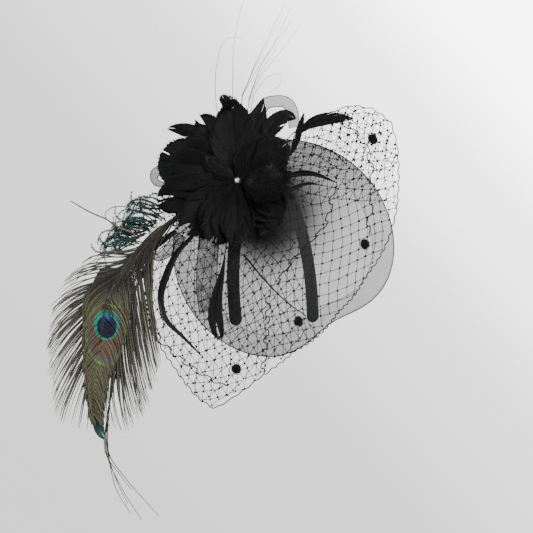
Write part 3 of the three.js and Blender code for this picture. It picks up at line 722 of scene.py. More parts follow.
def arch_frame(s):
    """Place, run and outward directions s millimetres from the arch's crown, going straight past its ends."""
    turn = np.linspace(-END_TURN, END_TURN, 2001)
    flat = np.stack([HALF_SPAN * np.sin(turn), ARCH_RISE * np.cos(turn)], -1)
    run = np.r_[0, np.cumsum(np.linalg.norm(np.diff(flat, axis=0), axis=1))]
    run -= run[-1] / 2
    past = np.clip(np.abs(s) - run[-1], 0, None)[:, None]
    at = np.stack([np.interp(s, run, flat[:, k]) for k in (0, 1)], -1)
    inside = np.clip(s, run[0] + 0.2, run[-1] - 0.2)
    before, after = (np.stack([np.interp(inside + step, run, flat[:, k]) for k in (0, 1)], -1)
                     for step in (-0.1, 0.1))
    along = unit(after - before)
    at = at + along * past * np.sign(s)[:, None]
    base = np.array([0.0, ARCH_BACK, 0.0])
    spread = np.array([[1.0, 0.0, 0.0], ARCH_UP])
    out = np.stack([-along[:, 1], along[:, 0]], -1)
    return base + at @ spread, along @ spread, out @ spread, run[-1]


def band_sleeve(s, half_width, half_thick, rng, offset=0.0, wrinkle=0.0, around=32):
    """A covered strip along the arch: a flat section with round edges, a crowned face and faint wrinkles."""
    place, _, out, _ = arch_frame(s)
    v = 2 * math.pi * np.arange(around) / around
    w = np.broadcast_to(half_width, s.shape)[:, None]
    h = np.broadcast_to(half_thick, s.shape)[:, None]
    x = np.sign(np.cos(v)) * np.clip(w - h, 0, None) + np.minimum(w, h) * np.cos(v)
    y = h * np.sin(v) * (1 + 0.12 * (1 - (x / np.maximum(w, 1e-6)) ** 2))
    waves = sum(np.sin(s * k + v[:, None] * m + p) for k, m, p in
                zip(rng.uniform(0.3, 1.4, 6), (1, 2, 3, 2, 4, 1), rng.uniform(0, 6, 6))).T / 6
    y = y + offset + wrinkle * waves
    grid = place[:, None] + ARCH_FORWARD * x[..., None] + out[:, None] * y[..., None]
    uv = np.stack(np.broadcast_arrays(s[:, None], v * (w + h) * 2 / math.pi), -1) / UV_MM
    points, quads, _, uv = sheet_grid(grid.transpose(1, 0, 2), uv.transpose(1, 0, 2), closed=True)
    steps = len(s)
    ends = np.stack([grid[0].mean(0), grid[-1].mean(0)])
    rows = np.arange(around) * steps
    first, last = len(points), len(points) + 1
    tris = np.concatenate([np.stack([np.full(around, first), rows, np.roll(rows, -1)], -1),
                           np.stack([np.full(around, last), np.roll(rows, -1) + steps - 1,
                                     rows + steps - 1], -1)])
    return np.concatenate([points, ends]), quads[:, ::-1], tris, np.concatenate([uv, [[0, 0], [0, 0]]])


# ------------------------------------------------------------------ settings
def length_setting(name, default, description):
    return bpy.props.FloatProperty(name=name, description=description, default=default, min=0.0,
                                   subtype="DISTANCE", unit="LENGTH")


def colour_setting(name, default, description):
    return bpy.props.FloatVectorProperty(name=name, description=description, default=default, size=3,
                                         subtype="COLOR")


class StageSettings(bpy.types.PropertyGroup):
    lens: bpy.props.FloatProperty(name="Lens", description="Focal length on a 36 mm sensor", default=156.5,
                                  unit="CAMERA")
    distance: length_setting("Camera distance", 2.2, "From the camera to the plane of the trim")
    key_power: bpy.props.FloatProperty(name="Key light", description="Power of the large soft key",
                                       default=55.0, unit="POWER")
    fill_power: bpy.props.FloatProperty(name="Fill light", description="Power of the soft fill on the left",
                                        default=22.0, unit="POWER")


class BandSettings(bpy.types.PropertyGroup):
    width: length_setting("Band width", 0.0135, "Width of the covered band")
    thickness: length_setting("Band thickness", 0.0038, "Thickness over the covering")
    stitch: length_setting("Stitch spacing", 0.0034, "Distance between the stitches of the lining")


class CrinSettings(bpy.types.PropertyGroup):
    thickness: length_setting("Crin thickness", 0.00035, "Thickness of the woven crin")
    pitch: length_setting("Thread pitch", 0.0009, "Distance between the threads of the weave")
    hem: bpy.props.FloatProperty(name="Hem",
                                 description="Inner edge of the doubled hem, as a share of the radius",
                                 default=0.80, subtype="FACTOR")


class VeilSettings(bpy.types.PropertyGroup):
    cell: length_setting("Net cell", 0.0083, "Length of a side of the net's cells")
    thread: length_setting("Net thread", 0.0007, "Thickness of the net's thread")
    knot: length_setting("Knot", 0.0014, "Thickness of the knots")
    dot: length_setting("Chenille dot", 0.0096, "Size of the chenille dots")


class FlowerSettings(bpy.types.PropertyGroup):
    barbs: bpy.props.IntProperty(name="Barbs", description="Barbs on each side of a petal", default=88,
                                 min=20)
    fibres: bpy.props.IntProperty(name="Down fibres", description="Fibres in the down puff", default=1800,
                                  min=100)


class PeacockSettings(bpy.types.PropertyGroup):
    barbs: bpy.props.IntProperty(name="Loose barbs", description="Long loose barbs each side of the quill",
                                 default=99, min=20)
    olive: colour_setting("Olive", (0.115, 0.105, 0.055), "Outer barbs")
    dark_olive: colour_setting("Dark olive", (0.035, 0.036, 0.022), "Outer barbs in shade")
    leaf_green: colour_setting("Leaf green", (0.12, 0.19, 0.03), "Line round the eye")
    lilac: colour_setting("Lilac grey", (0.072, 0.072, 0.070), "Band inside the green line")
    bronze: colour_setting("Bronze", (0.088, 0.055, 0.033), "Bronze drop of the eye")
    teal: colour_setting("Teal", (0.009, 0.17, 0.10), "Ring of the eye")
    bright_teal: colour_setting("Bright teal", (0.007, 0.17, 0.145), "Inside of the ring")
    navy: colour_setting("Navy", (0.004, 0.003, 0.016), "Heart of the eye")
    blue: colour_setting("Blue", (0.015, 0.03, 0.20), "Glint at the top of the heart")


# ------------------------------------------------------------------ operators
def seeded(name):
    """A random generator of the piece's own, so that changing one piece leaves the others alone."""
    return np.random.default_rng(sum(ord(letter) * (i + 7) for i, letter in enumerate(name)))


def soft_light(name, place, target, size, power, colour=(1.0, 1.0, 1.0)):
    lamp = bpy.data.lights.new(name, "AREA")
    lamp.shape = "DISK"
    lamp.size = size
    lamp.energy = power
    lamp.color = colour
    light = bpy.data.objects.new(name, lamp)
    bpy.context.scene.collection.objects.link(light)
    start, end = Vector(to_row(place)), Vector(to_row(target))
    light.location = start
    light.rotation_mode = "QUATERNION"
    light.rotation_quaternion = (end - start).to_track_quat("-Z", "Y")
    return light


class FASCINATOR_OT_stage(bpy.types.Operator):
    """Camera at the trim's own angle, pale studio light, a backdrop with a painted bright patch to the upper
    right, and a pale floor.
    """
    bl_idname = "fascinator.stage"
    bl_label = "Stage"

    def execute(self, context):
        look = context.scene.fascinator_stage
        middle = np.array([-34.7, 30.9, 60.0])
        camera = bpy.data.objects.new("camera", bpy.data.cameras.new("camera"))
        context.scene.collection.objects.link(camera)
        camera.data.lens, camera.data.sensor_width = look.lens, 36.0
        camera.data.clip_start, camera.data.clip_end = 0.05, 50.0
        place = Matrix(TRIM.T.tolist()).to_4x4()
        place.translation = Vector(to_row(middle + [0, 0, look.distance / MM]))
        camera.matrix_world = place
        context.scene.camera = camera

        world = bpy.data.worlds.new("studio")
        world.use_nodes = True
        tree = world.node_tree
        tree.nodes.clear()
        coords = tree.nodes.new("ShaderNodeTexCoord")
        slope = tree.nodes.new("ShaderNodeVectorMath")
        slope.operation = "DOT_PRODUCT"
        slope.inputs[1].default_value = unit(TRIM[0] * 0.75 + TRIM[1] * 0.66).tolist()
        ramp = tree.nodes.new("ShaderNodeValToRGB")
        spread = tree.nodes.new("ShaderNodeMapRange")
        spread.inputs["From Min"].default_value, spread.inputs["From Max"].default_value = -0.14, 0.14
        for place, tone in ((1.0, 7.0), (0.0, 1.35), (0.4, 1.55), (0.62, 2.1), (0.82, 3.6)):
            stops = ramp.color_ramp.elements
            stop = stops.new(place) if 0 < place < 1 else stops[int(place)]
            stop.color = (tone / 7, tone / 7 * 1.005, tone / 7 * 0.995, 1)
        ramp.color_ramp.interpolation = "EASE"
        # The camera sees a painted backdrop: brighter towards the upper right, a painted pool of light that
        # lights nothing; the scene is lit by the even light background.
        painted_backdrop, light = tree.nodes.new("ShaderNodeBackground"), tree.nodes.new("ShaderNodeBackground")
        painted_backdrop.inputs["Strength"].default_value = 7.0
        light.inputs["Color"].default_value = (0.93, 0.96, 1.0, 1)
        light.inputs["Strength"].default_value = 0.75
        path, both = tree.nodes.new("ShaderNodeLightPath"), tree.nodes.new("ShaderNodeMixShader")
        out = tree.nodes.new("ShaderNodeOutputWorld")
        for start, end in ((coords.outputs["Generated"], slope.inputs[0]),
                           (slope.outputs["Value"], spread.inputs[0]),
                           (spread.outputs[0], ramp.inputs[0]), (ramp.outputs[0], painted_backdrop.inputs["Color"]),
                           (path.outputs["Is Camera Ray"], both.inputs[0]),
                           (light.outputs[0], both.inputs[1]),
                           (painted_backdrop.outputs[0], both.inputs[2]), (both.outputs[0], out.inputs["Surface"])):
            tree.links.new(start, end)
        context.scene.world = world

        soft_light("key", (700, 900, 1300), middle, 1.2, look.key_power)
        soft_light("fill", (-1300, 300, 900), middle, 1.4, look.fill_power, (0.95, 0.97, 1.0))
        soft_light("back", (200, 900, -1300), middle, 1.2, look.fill_power)

        mesh = bpy.data.meshes.new("floor")
        turn = 2 * math.pi * np.arange(64) / 64
        mesh.from_pydata([(3 * math.cos(t), 3 * math.sin(t), -1.1) for t in turn], [], [list(range(64))])
        floor = bpy.data.objects.new("floor", mesh)
        context.scene.collection.objects.link(floor)
        f = Finish("matt paper floor")
        cloud = f.cloud(3)
        mesh.materials.append(f.principled(Base_Color=f.mix(cloud, grey(0.74), grey(0.8)),
                                           Roughness=0.9))
        return {"FINISHED"}


class FASCINATOR_OT_headband(bpy.types.Operator):
    """Satin-covered band, its two sewn ends, the grosgrain lining and the lining's stitches."""
    bl_idname = "fascinator.headband"
    bl_label = "Headband"

    def execute(self, context):
        look = context.scene.fascinator_band
        rng = seeded("headband")
        half, thick = look.width / MM / 2, look.thickness / MM / 2
        reach = arch_frame(np.zeros(1))[3]
        satin = satin_finish("black ribbon satin")
        s = np.linspace(-reach, reach, 360)
        close = np.sqrt(np.clip(1 - np.clip((np.abs(s) - reach + 1.2) / 1.2, 0, 0.995) ** 2, 0, 1))
        cover = band_sleeve(s, half - 0.6 * (1 - close), thick * close, rng, wrinkle=0.1)
        make_piece("headband_satin_cover", [cover], satin, ["headband_cover"], row=True)
        for name, hand in (("right", -1), ("left", 1)):
            t = np.linspace(0, 1, 48)
            along = reach - 1.5 + 15.8 * (1 - np.cos(math.pi * t)) / 2
            from_tip = reach + 14.3 - along
            width = np.where(from_tip < half,
                             np.sqrt(np.clip(half ** 2 - (half - from_tip) ** 2, 0.02, None)), half)
            inward = np.minimum(from_tip, along - reach + 1.6)
            rise = (thick + 0.25) * np.sqrt(np.clip(1 - (1 - inward / 1.6).clip(0) ** 2, 0.02, 1))
            order = slice(None) if hand > 0 else slice(None, None, -1)
            sleeve = band_sleeve((hand * along)[order], width[order], rise[order], rng, wrinkle=0.12)
            make_piece(f"headband_satin_end_{name}", [sleeve], satin, [f"headband_end_{name}"],
                       row=True)

        ribbed = satin_finish("black grosgrain lining")
        s = np.linspace(-reach + 1, reach - 1, 420)
        lining = band_sleeve(s, 4.5, 0.34 + 0.05 * np.cos(s * 2 * math.pi / 1.1), rng, offset=-thick - 0.05)
        make_piece("headband_grosgrain_lining", [lining], ribbed, ["headband_lining"], row=True)

        s = np.arange(-reach + 3, reach - 3, look.stitch / MM)
        place, along, out, _ = arch_frame(s)
        jaw = row_points("clip_lower_jaw")          # the stitches stop where the clip lies on the band
        low, high = jaw.min(0) - 1.0, jaw.max(0) + 1.0
        runs = []
        for hand in (-1, 1):
            inner = place + ARCH_FORWARD * hand * 3.9 - out * (thick + 0.42) + along * 0.5
            outer = place + ARCH_FORWARD * hand * 5.3 - out * (thick - 0.02) - along * 0.5
            top = (inner + outer) / 2 - out * 0.28
            clear = ((top < low) | (top > high)).any(1)
            runs.append(bezier(inner[clear], top[clear], top[clear], outer[clear], 5))
        thread = thread_finish("black sewing thread", 0.02)
        make_piece("headband_stitches", [tubes(np.concatenate(runs), 0.3, sides=4, face=ARCH_FORWARD)],
                   thread, row=True)
        coat("headband_core", plastic_finish("dark band plastic"))
        return {"FINISHED"}


class FASCINATOR_OT_clip(bpy.types.Operator):
    """The hinged clip: brushed steel jaws and pin, and a wound spring on the pin."""
    bl_idname = "fascinator.clip"
    bl_label = "Clip"

    def execute(self, context):
        steel = metal_finish("blackened clip steel", (0.30, 0.30, 0.32), 0.28)
        for node in ("clip_upper_jaw", "clip_lower_jaw", "clip_pin"):
            coat(node, steel)
        pin = row_points("clip_pin")
        middle = pin.mean(0)
        axis = np.linalg.svd(pin - middle)[2][0]
        side = unit(np.cross(axis, [0, 0, 1.0]))
        up = np.cross(axis, side)
        s = np.linspace(0, 1, 200)
        turn = 2 * math.pi * 4 * s
        ring = np.outer(np.cos(turn), side) + np.outer(np.sin(turn), up)
        coil = middle + np.outer(4 * s - 2, axis) + 1.55 * ring
        wire = metal_finish("spring wire", (0.55, 0.55, 0.57), 0.22)
        make_piece("clip_wound_spring", [tubes(coil[None], 0.6, sides=8, face=axis)], wire,
                   ["clip_spring"], row=True)
        return {"FINISHED"}


class FASCINATOR_OT_felt(bpy.types.Operator):
    """The felt pad under the saucer and the felt disc behind the flower, with soft edges and fuzz."""
    bl_idname = "fascinator.felt"
    bl_label = "Felt"

    def execute(self, context):
        felt = felt_finish("pressed black felt")
        for node, grain in (("felt_pad", 0.8), ("flower_backing_disc", 0.45)):
            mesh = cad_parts[node].data.copy()
            piece = bpy.data.objects.new(f"{node}_soft", mesh)
            context.scene.collection.objects.link(piece)
            mesh.materials.clear()
            mesh.materials.append(felt)
            remesh = piece.modifiers.new("felted", "REMESH")
            remesh.mode, remesh.voxel_size, remesh.use_smooth_shade = "VOXEL", grain * MM, True
            smooth = piece.modifiers.new("rounded", "SMOOTH")
            smooth.factor, smooth.iterations = 0.5, 6
            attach(piece, BODY)
            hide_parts(node)
            context.view_layer.update()
            made = piece.evaluated_get(context.evaluated_depsgraph_get()).to_mesh()
            flat, out = np.empty(len(made.vertices) * 3), np.empty(len(made.vertices) * 3)
            made.vertices.foreach_get("co", flat)
            made.vertices.foreach_get("normal", out)
            fuzz = felt_fuzz(flat.reshape(-1, 3) / MM, out.reshape(-1, 3), 900, 1.3, seeded(node))
            make_piece(f"{node}_fuzz", [fuzz], felt, row=True)
        return {"FINISHED"}


class FASCINATOR_OT_saucer(bpy.types.Operator):
    """The see-through crin saucer, its doubled hem, the wire in its edge and the hem's stitches."""
    bl_idname = "fascinator.saucer"
    bl_label = "Saucer"

    def execute(self, context):
        look = context.scene.fascinator_crin
        rng = seeded("saucer")
        # shade=1.7 paints the flower's shadow into the saucer as extra cover round its foot.
        weave = crin_finish("black crin weave", look.pitch / MM, 0.36, shade=1.7)
        dish = make_piece("saucer_crin", [disc_sheet(dish_height, dish_rim, DISH_CENTRE, 40, 200)], weave,
                          ["crin_dish"])
        thicken(dish, look.thickness / MM)
        area = dish_rim(np.linspace(-math.pi, math.pi, 721)[:-1]) ** 2 / 2 * 2 * math.pi / 720
        span = 2 * float(dish_rim(0.0)) * 1.02 * MM
        hem = make_piece("saucer_hem", [disc_sheet(dish_height, dish_rim, DISH_CENTRE, 8, 200, look.hem,
                                                   -0.9, 0.995)],
                         crin_finish("doubled crin hem", look.pitch / MM, 0.12),
                         ["crin_rim_hem"])
        thicken(hem, look.thickness / MM)
        cord = thread_finish("bound black edge", 0.004)
        rim = round_edge(dish_height, dish_rim, DISH_CENTRE, 400, 0.998)
        inner = round_edge(dish_height, dish_rim, DISH_CENTRE, 400, look.hem + 0.004, -0.9)
        make_piece("saucer_edge_wire", [tubes(rim[None], 1.0, sides=8, face=OUTWARD)], cord,
                   ["rim_wire"])
        at = np.arange(2, 398, 2)
        fine = round_edge(dish_height, dish_rim, DISH_CENTRE, 400, 0.985, 0.5)
        start = fine[at] + rng.normal(0, 0.15, (len(at), 3)) * [1, 1, 0]
        end = fine[at + 1]
        stitches = bezier(start, start + [0, 0, 0.3], end + [0, 0, 0.3], end, 4)
        make_piece("saucer_hem_stitches",
                   [tubes(stitches, 0.35, sides=3), tubes(inner[None], 0.4, 0.4, sides=4)],
                   cord)
        return {"FINISHED"}


def net_lattice(turn, cell, rng, inside, lift, shake=0.35, lean=17.0, squash=1.16):
    """One layer of net: knots on a leaning lattice, joined along both of its directions.

    knot(i, j) = i * rise + j * run, turned, then waved by sines about 80 mm long and shaken a little. Each
    side of a cell is a short thread that sags between its knots.
    """
    count = int(190 / cell)
    i, j = np.meshgrid(np.arange(-count, count + 1), np.arange(-count, count + 1), indexing="ij")
    lean = math.radians(lean)
    a = j * cell * math.cos(lean)
    b = i * cell * squash + j * cell * math.sin(lean)
    c, s = math.cos(turn), math.sin(turn)
    a, b = VEIL_CENTRE[0] + a * c - b * s, VEIL_CENTRE[1] + a * s + b * c
    phase = rng.uniform(0, 6, 4)
    a = a + 2.4 * np.sin(b / 17 + phase[0]) + 1.0 * np.sin(a / 12 + phase[1]) + rng.normal(0, shake, a.shape)
    b = b + 2.4 * np.sin(a / 16 + phase[2]) + 1.0 * np.sin(b / 12 + phase[3]) + rng.normal(0, shake, b.shape)
    good = inside(a, b)
    starts, ends = [], []
    for di, dj in ((1, 0), (0, 1)):
        last = slice(None, -1 if di else None), slice(None, -1 if dj else None)
        next_ = slice(di or None, None), slice(dj or None, None)
        both = good[last] & good[next_]
        starts.append(np.stack([a[last][both], b[last][both]], -1))
        ends.append(np.stack([a[next_][both], b[next_][both]], -1))
    p, q = np.concatenate(starts), np.concatenate(ends)
    t = np.linspace(0, 1, 5)[None, :, None]
    line = p[:, None] * (1 - t) + q[:, None] * t
    cross = unit((q - p)[:, ::-1] * [1, -1])[:, None]
    line = line + cross * np.sin(math.pi * t) * rng.normal(0, 0.22, (len(p), 1, 1))
    knots = np.stack([a[good], b[good]], -1)
    return (np.concatenate([line, (veil_height(line[..., 0], line[..., 1]) + lift)[..., None]], -1),
            np.c_[knots, veil_height(knots[:, 0], knots[:, 1]) + lift])


def inside_veil(a, b, share=0.985):
    turn, reach = turn_and_reach(a, b, VEIL_CENTRE)
    return reach < veil_rim(turn) * share


class FASCINATOR_OT_veil(bpy.types.Operator):
    """Net of real threads and knots in overlapping plies, its scalloped selvedge and the chenille dots."""
    bl_idname = "fascinator.veil"
    bl_label = "Veil"

    def execute(self, context):
        look = context.scene.fascinator_veil
        cell, thread, knot = look.cell / MM, look.thread / MM, look.knot / MM
        black = thread_finish("black veiling thread", 0.003)
        plies = [
            ("veil_net_front", 0.0, 0.2, 0.3, lambda a, b: inside_veil(a, b), ["veil_net"]),
            ("veil_net_left", 0.52, -0.9, 0.6, lambda a, b: inside_veil(a, b) & (a < -4 - 0.25 * (b - 40)),
             []),
            ("veil_net_top", -0.42, -1.8, 0.6, lambda a, b: inside_veil(a, b) & (a > -30) & (b > 88), []),
            ("veil_net_fold", 0.9, -2.6, 0.8, lambda a, b: inside_veil(a, b) & (a > 10) & (b > 120), []),
        ]
        for name, turn, lift, shake, inside, stands_for in plies:
            rng = seeded(name)
            lines, knots = net_lattice(turn, cell, rng, inside, lift, shake)
            size = knot * rng.uniform(0.75, 1.25, len(knots))
            make_piece(name, [tubes(lines, thread, sides=3), beads(knots, size)], black, stands_for)
        rng = seeded("selvedge")
        edge = round_edge(veil_height, veil_rim, VEIL_CENTRE, 1400, 0.985, 0.2, 0.8, cell)
        fold = [smooth_route(over_veil(route), 220) for route in (
            [(29, 106, 0.4), (20, 70, 0.4), (-6, 42, 0.4), (-27, 13, 0.4)],
            [(-33, 9, 0.4), (-34, -20, 0.4), (-36, -48, 0.4), (-39, -70, 0.4)],
            [(-150, -20, 0.4), (-130, -45, 0.4), (-100, -68, 0.4), (-74, -82, 0.4)],
            [(30, 176, 0.4), (58, 150, 0.4), (66, 110, 0.4), (60, 60, 0.4)])]
        steps = np.arange(220)
        fold = [line + np.outer(2.0 * np.tanh(3 * np.sin(steps * 2 * math.pi / 34)), [1, 0.3, 0])
                for line in fold]
        make_piece("veil_selvedge", [tubes(edge[None], thread * 1.5, sides=4),
                                     tubes(np.stack(fold), thread * 1.6, sides=4)],
                   black)
        chenille = felt_finish("black chenille", 0.0015)
        for i in range(4):
            name = f"veil_dot_{i + 1}"
            rng = seeded(name)
            p = trim_points(name)
            centre, radius = (p.max(0) + p.min(0)) / 2, look.dot / MM / 2
            core = ball(centre, [radius * 0.86, radius * 0.98, radius * 0.8], rng, 0.35, 20, 12)
            pile = felt_fuzz(core[0], unit(core[0] - centre), 620, 1.6, rng)
            make_piece(f"chenille_dot_{i + 1}", [core, pile], chenille, [name])
        return {"FINISHED"}


class FASCINATOR_OT_flower(bpy.types.Operator):
    """Feather petals: each packed petal gives the direction, length and width of three layered feathers."""
    bl_idname = "fascinator.flower"
    bl_label = "Flower"

    def execute(self, context):
        look = context.scene.fascinator_flower
        finish = black_feather("black petal feather", 0.0006, 0.013, 0.08)
        quill = horn_finish("black quill", (0.003, 0.003, 0.003), 0.5)
        petals = sorted(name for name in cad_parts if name.startswith("petal_"))
        for name in petals:
            rng = seeded(name)
            p = trim_points(name)
            height = fitted(name)
            d = p[:, :2] - FLOWER
            reach = np.hypot(*d.T)
            way = unit(d[reach.argmax()])
            middle = unit(d[reach > 0.7 * reach.max()].mean(0))
            way = unit(way + middle)
            side = np.array([-way[1], way[0]])
            wide = np.abs(d @ side).max() * 2
            long = reach.max()
            long -= max(0.0, long - 78) * 0.6
            parts, shafts = [], []
            inner = long < 42
            shape = (0.55, 5.0, 10) if inner else (1.0, 1.8, 4)
            tall = long > 79
            fan = 0.35 if tall else 1.0
            for swing, scale, lift, size in ((0.0, 1.0, 0.6, 1.0), (0.15 * fan, 0.92, -0.5, 0.9),
                                             (-0.13 * fan, 0.86, -1.3, 0.9)):
                c, s = math.cos(swing), math.sin(swing)
                t = np.linspace(0.04, scale, 6)
                bend = rng.normal(0, 0.035) * long * t ** 2
                place = FLOWER + np.outer(t * long, way * c + side * s) + np.outer(bend, side)
                along = FLOWER + np.outer(np.maximum(t, 0.2) * long, way)
                tip_curl = 0.05 * long * t ** 4 * rng.uniform(0.2, 1.3)
                n = height(along[:, 0], along[:, 1]) + lift - 1.5 * inner + tip_curl
                face = unit(np.array([rng.normal(0, 0.16), rng.normal(0, 0.16), 1.0]))
                sheets, shaft = vane(np.c_[place, n], wide * size * 1.04 * shape[0], face, rng,
                                     "leaf" if inner or tall else "round", look.barbs, cup=0.28, ragged=0.03,
                                     splits=shape[2], depth=0.6, ripple=0.45, quill=0.9, fray=shape[1])
                parts += sheets
                shafts += shaft
            piece = make_piece(f"{name}_feathers", parts, finish, [name])
            thicken(piece, 0.22)
            make_piece(f"{name}_quills", shafts, quill)
        return {"FINISHED"}


class FASCINATOR_OT_puff_and_gem(bpy.types.Operator):
    """The down puff beside the middle of the flower, and the cut crystal in its silver cup."""
    bl_idname = "fascinator.puff_and_gem"
    bl_label = "Puff and gem"

    def execute(self, context):
        look = context.scene.fascinator_flower
        rng = seeded("puff")
        p = trim_points("down_puff")
        centre, radii = (p.max(0) + p.min(0)) / 2, (p.max(0) - p.min(0)) / 2 * 1.08
        down = black_feather("black down", 0.0026, 0.02, 0.12)
        core = ball(centre, radii * [0.72, 0.72, 0.62], rng, 0.25, 30, 18)
        way = unit(rng.normal(0, 1, (look.fibres, 3)) * [1, 1, 0.8] + [0, 0, 0.35])
        root = centre + way * radii * [0.62, 0.62, 0.55]
        length = rng.uniform(0.22, 0.42, (look.fibres, 1)) * radii[0]
        drift = rng.normal(0, 0.55, (look.fibres, 3))
        tip = root + unit(way + drift) * length
        past = np.linalg.norm((tip - centre) / radii, axis=1)
        tip = centre + (tip - centre) * np.minimum(1, 1.12 / past)[:, None]
        middle = root + way * length * 0.55 + rng.normal(0, 0.5, (look.fibres, 3))
        fibres = bezier(root, middle, (middle + tip) / 2 + rng.normal(0, 0.5, (look.fibres, 3)), tip, 6)
        taper = 0.5 * (1 - 0.7 * np.linspace(0, 1, 6))[None]
        make_piece("down_puff_fibres", [core, tubes(fibres, taper, taper * 0.6, sides=3)], down,
                   ["down_puff"])

        p = trim_points("gem")
        centre = np.array([*(p.max(0) + p.min(0))[:2] / 2, p[:, 2].min()])
        sides = 16
        turn = 2 * math.pi * np.arange(sides) / sides
        rings = [(0.9, 0.35, 0.0), (2.5, 1.75, 0.5), (2.5, 1.95, 0.5), (2.0, 2.75, 0.0), (1.35, 3.1, 0.5)]
        verts = np.concatenate([np.stack([r * np.cos(turn + k * 2 * math.pi / sides),
                                          r * np.sin(turn + k * 2 * math.pi / sides),
                                          np.full(sides, z)], -1) for r, z, k in rings]
                               + [[[0, 0, 0.0], [0, 0, 3.1]]])
        at = np.arange(5 * sides).reshape(5, sides)
        nxt = np.roll(at, -1, axis=1)
        tris = [np.stack([at[:-1], nxt[:-1], at[1:]], -1).reshape(-1, 3),
                np.stack([nxt[:-1], nxt[1:], at[1:]], -1).reshape(-1, 3),
                np.stack([np.full(sides, 5 * sides), nxt[0], at[0]], -1),
                np.stack([np.full(sides, 5 * sides + 1), at[-1], nxt[-1]], -1)]
        gem = (verts + centre, np.empty((0, 4), int), np.concatenate(tris), np.zeros((len(verts), 2)))
        make_piece("cut_crystal", [gem], crystal_finish("foiled crystal"), ["gem"], smooth=False)
        turn = math.pi / 2 * np.arange(4) + 0.4
        spoke = np.stack([np.cos(turn), np.sin(turn), 0 * turn], -1)
        foot, head = centre + spoke * 3.3 + [0, 0, 0.8], centre + spoke * 2.0 + [0, 0, 2.95]
        claws = bezier(foot, foot + [0, 0, 1.6], head + spoke * 0.9, head, 10)
        silver = metal_finish("tarnished silver", (0.10, 0.10, 0.11), 0.3)
        coat("gem_setting", silver)
        make_piece("gem_claws", [tubes(claws, 0.75, sides=8)], silver)
        return {"FINISHED"}


FEATHERS = [
    ("leaf_feather", "leaf", 12, [(-4, 158, 40), (8, 168, 38), (26, 173, 36), (48, 173, 35)]),
    ("narrow_feather", "leaf", 7, [(-12, 136, 52), (-6, 152, 50), (-2, 166, 48), (1, 177, 46)]),
    ("pointed_feather", "pointed", 26, [(-50, 146, 60), (-46, 163, 57), (-41, 178, 53), (-38, 191, 49)]),
    ("curved_feather", "leaf", 17, [(-40, 146, 62), (-29, 164, 60), (-17, 174, 57), (-7, 172, 54)]),
    ("left_feather", "leaf", 14, [(-88, 150, 50), (-103, 158, 48), (-116, 162, 46), (-129, 163, 44)]),
]


class FASCINATOR_OT_black_feathers(bpy.types.Operator):
    """Single black feathers, curled biots and the bare quill round the flower."""
    bl_idname = "fascinator.black_feathers"
    bl_label = "Black feathers"

    def execute(self, context):
        finish = black_feather("black trim feather")
        horn = horn_finish("black biot", (0.0009, 0.0009, 0.0009), 0.45)
        for name, kind, width, route in FEATHERS:
            sheets, shaft = vane(route, width, OUTWARD, seeded(name), kind, 80, splits=3, ragged=0.02,
                                 depth=0.3,
                                 ripple=0.15, quill=0.6, fray=1.2)
            thicken(make_piece(f"{name}_vane", sheets, finish, [name]), 0.22)
            make_piece(f"{name}_quill", shaft, horn)
        hanging = over_veil([(-72, 56, 5), (-76, 26, 5), (-81, 4, 6), (-82.5, -16, 6), (-78, -37, 6)])
        sheets, shaft = vane(hanging, 13.5, OUTWARD, seeded("hanging"), "paddle", 110, ragged=0.02,
                             splits=3, depth=0.2,
                             ripple=0.1)
        thicken(make_piece("hanging_feather_vane", sheets, finish, ["hanging_feather"]),
                0.25)
        make_piece("hanging_feather_quill", shaft, horn)
        curl = [(-71, 179, 62), (-71, 184, 66), (-71, 190, 68), (-70, 193, 64)]
        sheets, shaft = vane(curl, 15, OUTWARD, seeded("curl"), "round", 50, splits=2, cup=-0.5, fray=1.5)
        thicken(make_piece("curled_petal_tip", sheets + shaft, finish), 0.22)
        biots = [
            ("long_biot", 7.0, [(-104, 60, 12), (-119, 44, 13), (-129, 24, 10), (-135, 2, 6), (-130, -19, 5),
                                (-113, -36, 4), (-94, -55, 4)]),
            ("short_biot", 7.4, [(-120, 64, 19), (-134, 55, 20), (-149, 44, 20), (-158, 28, 18),
                                 (-152, 11, 15)]),
        ]
        for name, width, route in biots:
            thicken(make_piece(f"{name}_blade", [blade(over_veil(route), width, OUTWARD)], horn,
                               [name]), 0.4)
        side = [blade(over_veil(route), width, OUTWARD) for width, route in (
            (5.6, [(-20, 114, 2), (-4, 119, 2.5), (12, 118, 2.5), (32, 110, 2)]),
            (4.0, [(-18, 100, 2), (-6, 106, 2.5), (4, 109, 2.5), (16, 108, 2)]))]
        thicken(make_piece("side_biots", side, horn), 0.4)
        route = smooth_route(over_veil([(-56, 42, 8), (-37, 19, 5), (-16, -2, 3.5), (2, -15, 2.5)]), 60)
        make_piece("bare_quill_shaft", [tubes(route[None], 1.9 - 0.9 * np.linspace(0, 1, 60), sides=8)], horn,
                   ["bare_quill"])
        return {"FINISHED"}


LOOPS = [
    ("crin_loop_top", 10.5, 0.12, 0, [(-42, 176, 46), (-36, 186, 45), (-26, 189, 43), (-16, 188, 40),
                                      (-10, 180, 37),
                                   (-8, 164, 37)]),
    ("crin_loop_left", 10, 0.4, 0, [(-126, 124, 44), (-134, 124, 40), (-142, 120, 36), (-141, 112, 33),
                                    (-130, 108, 32)]),
    ("crin_loop_low", 12, -0.4, 1, [(-116, 62, 9), (-124, 50, 10), (-132, 42, 10), (-139, 40, 11),
                                    (-142, 46, 11)]),
    ("crin_loop_bottom", 19, 0.0, 1, [(-88, 68, 5), (-90, 40, 7), (-91, 12, 6), (-88, -12, 4)]),
]


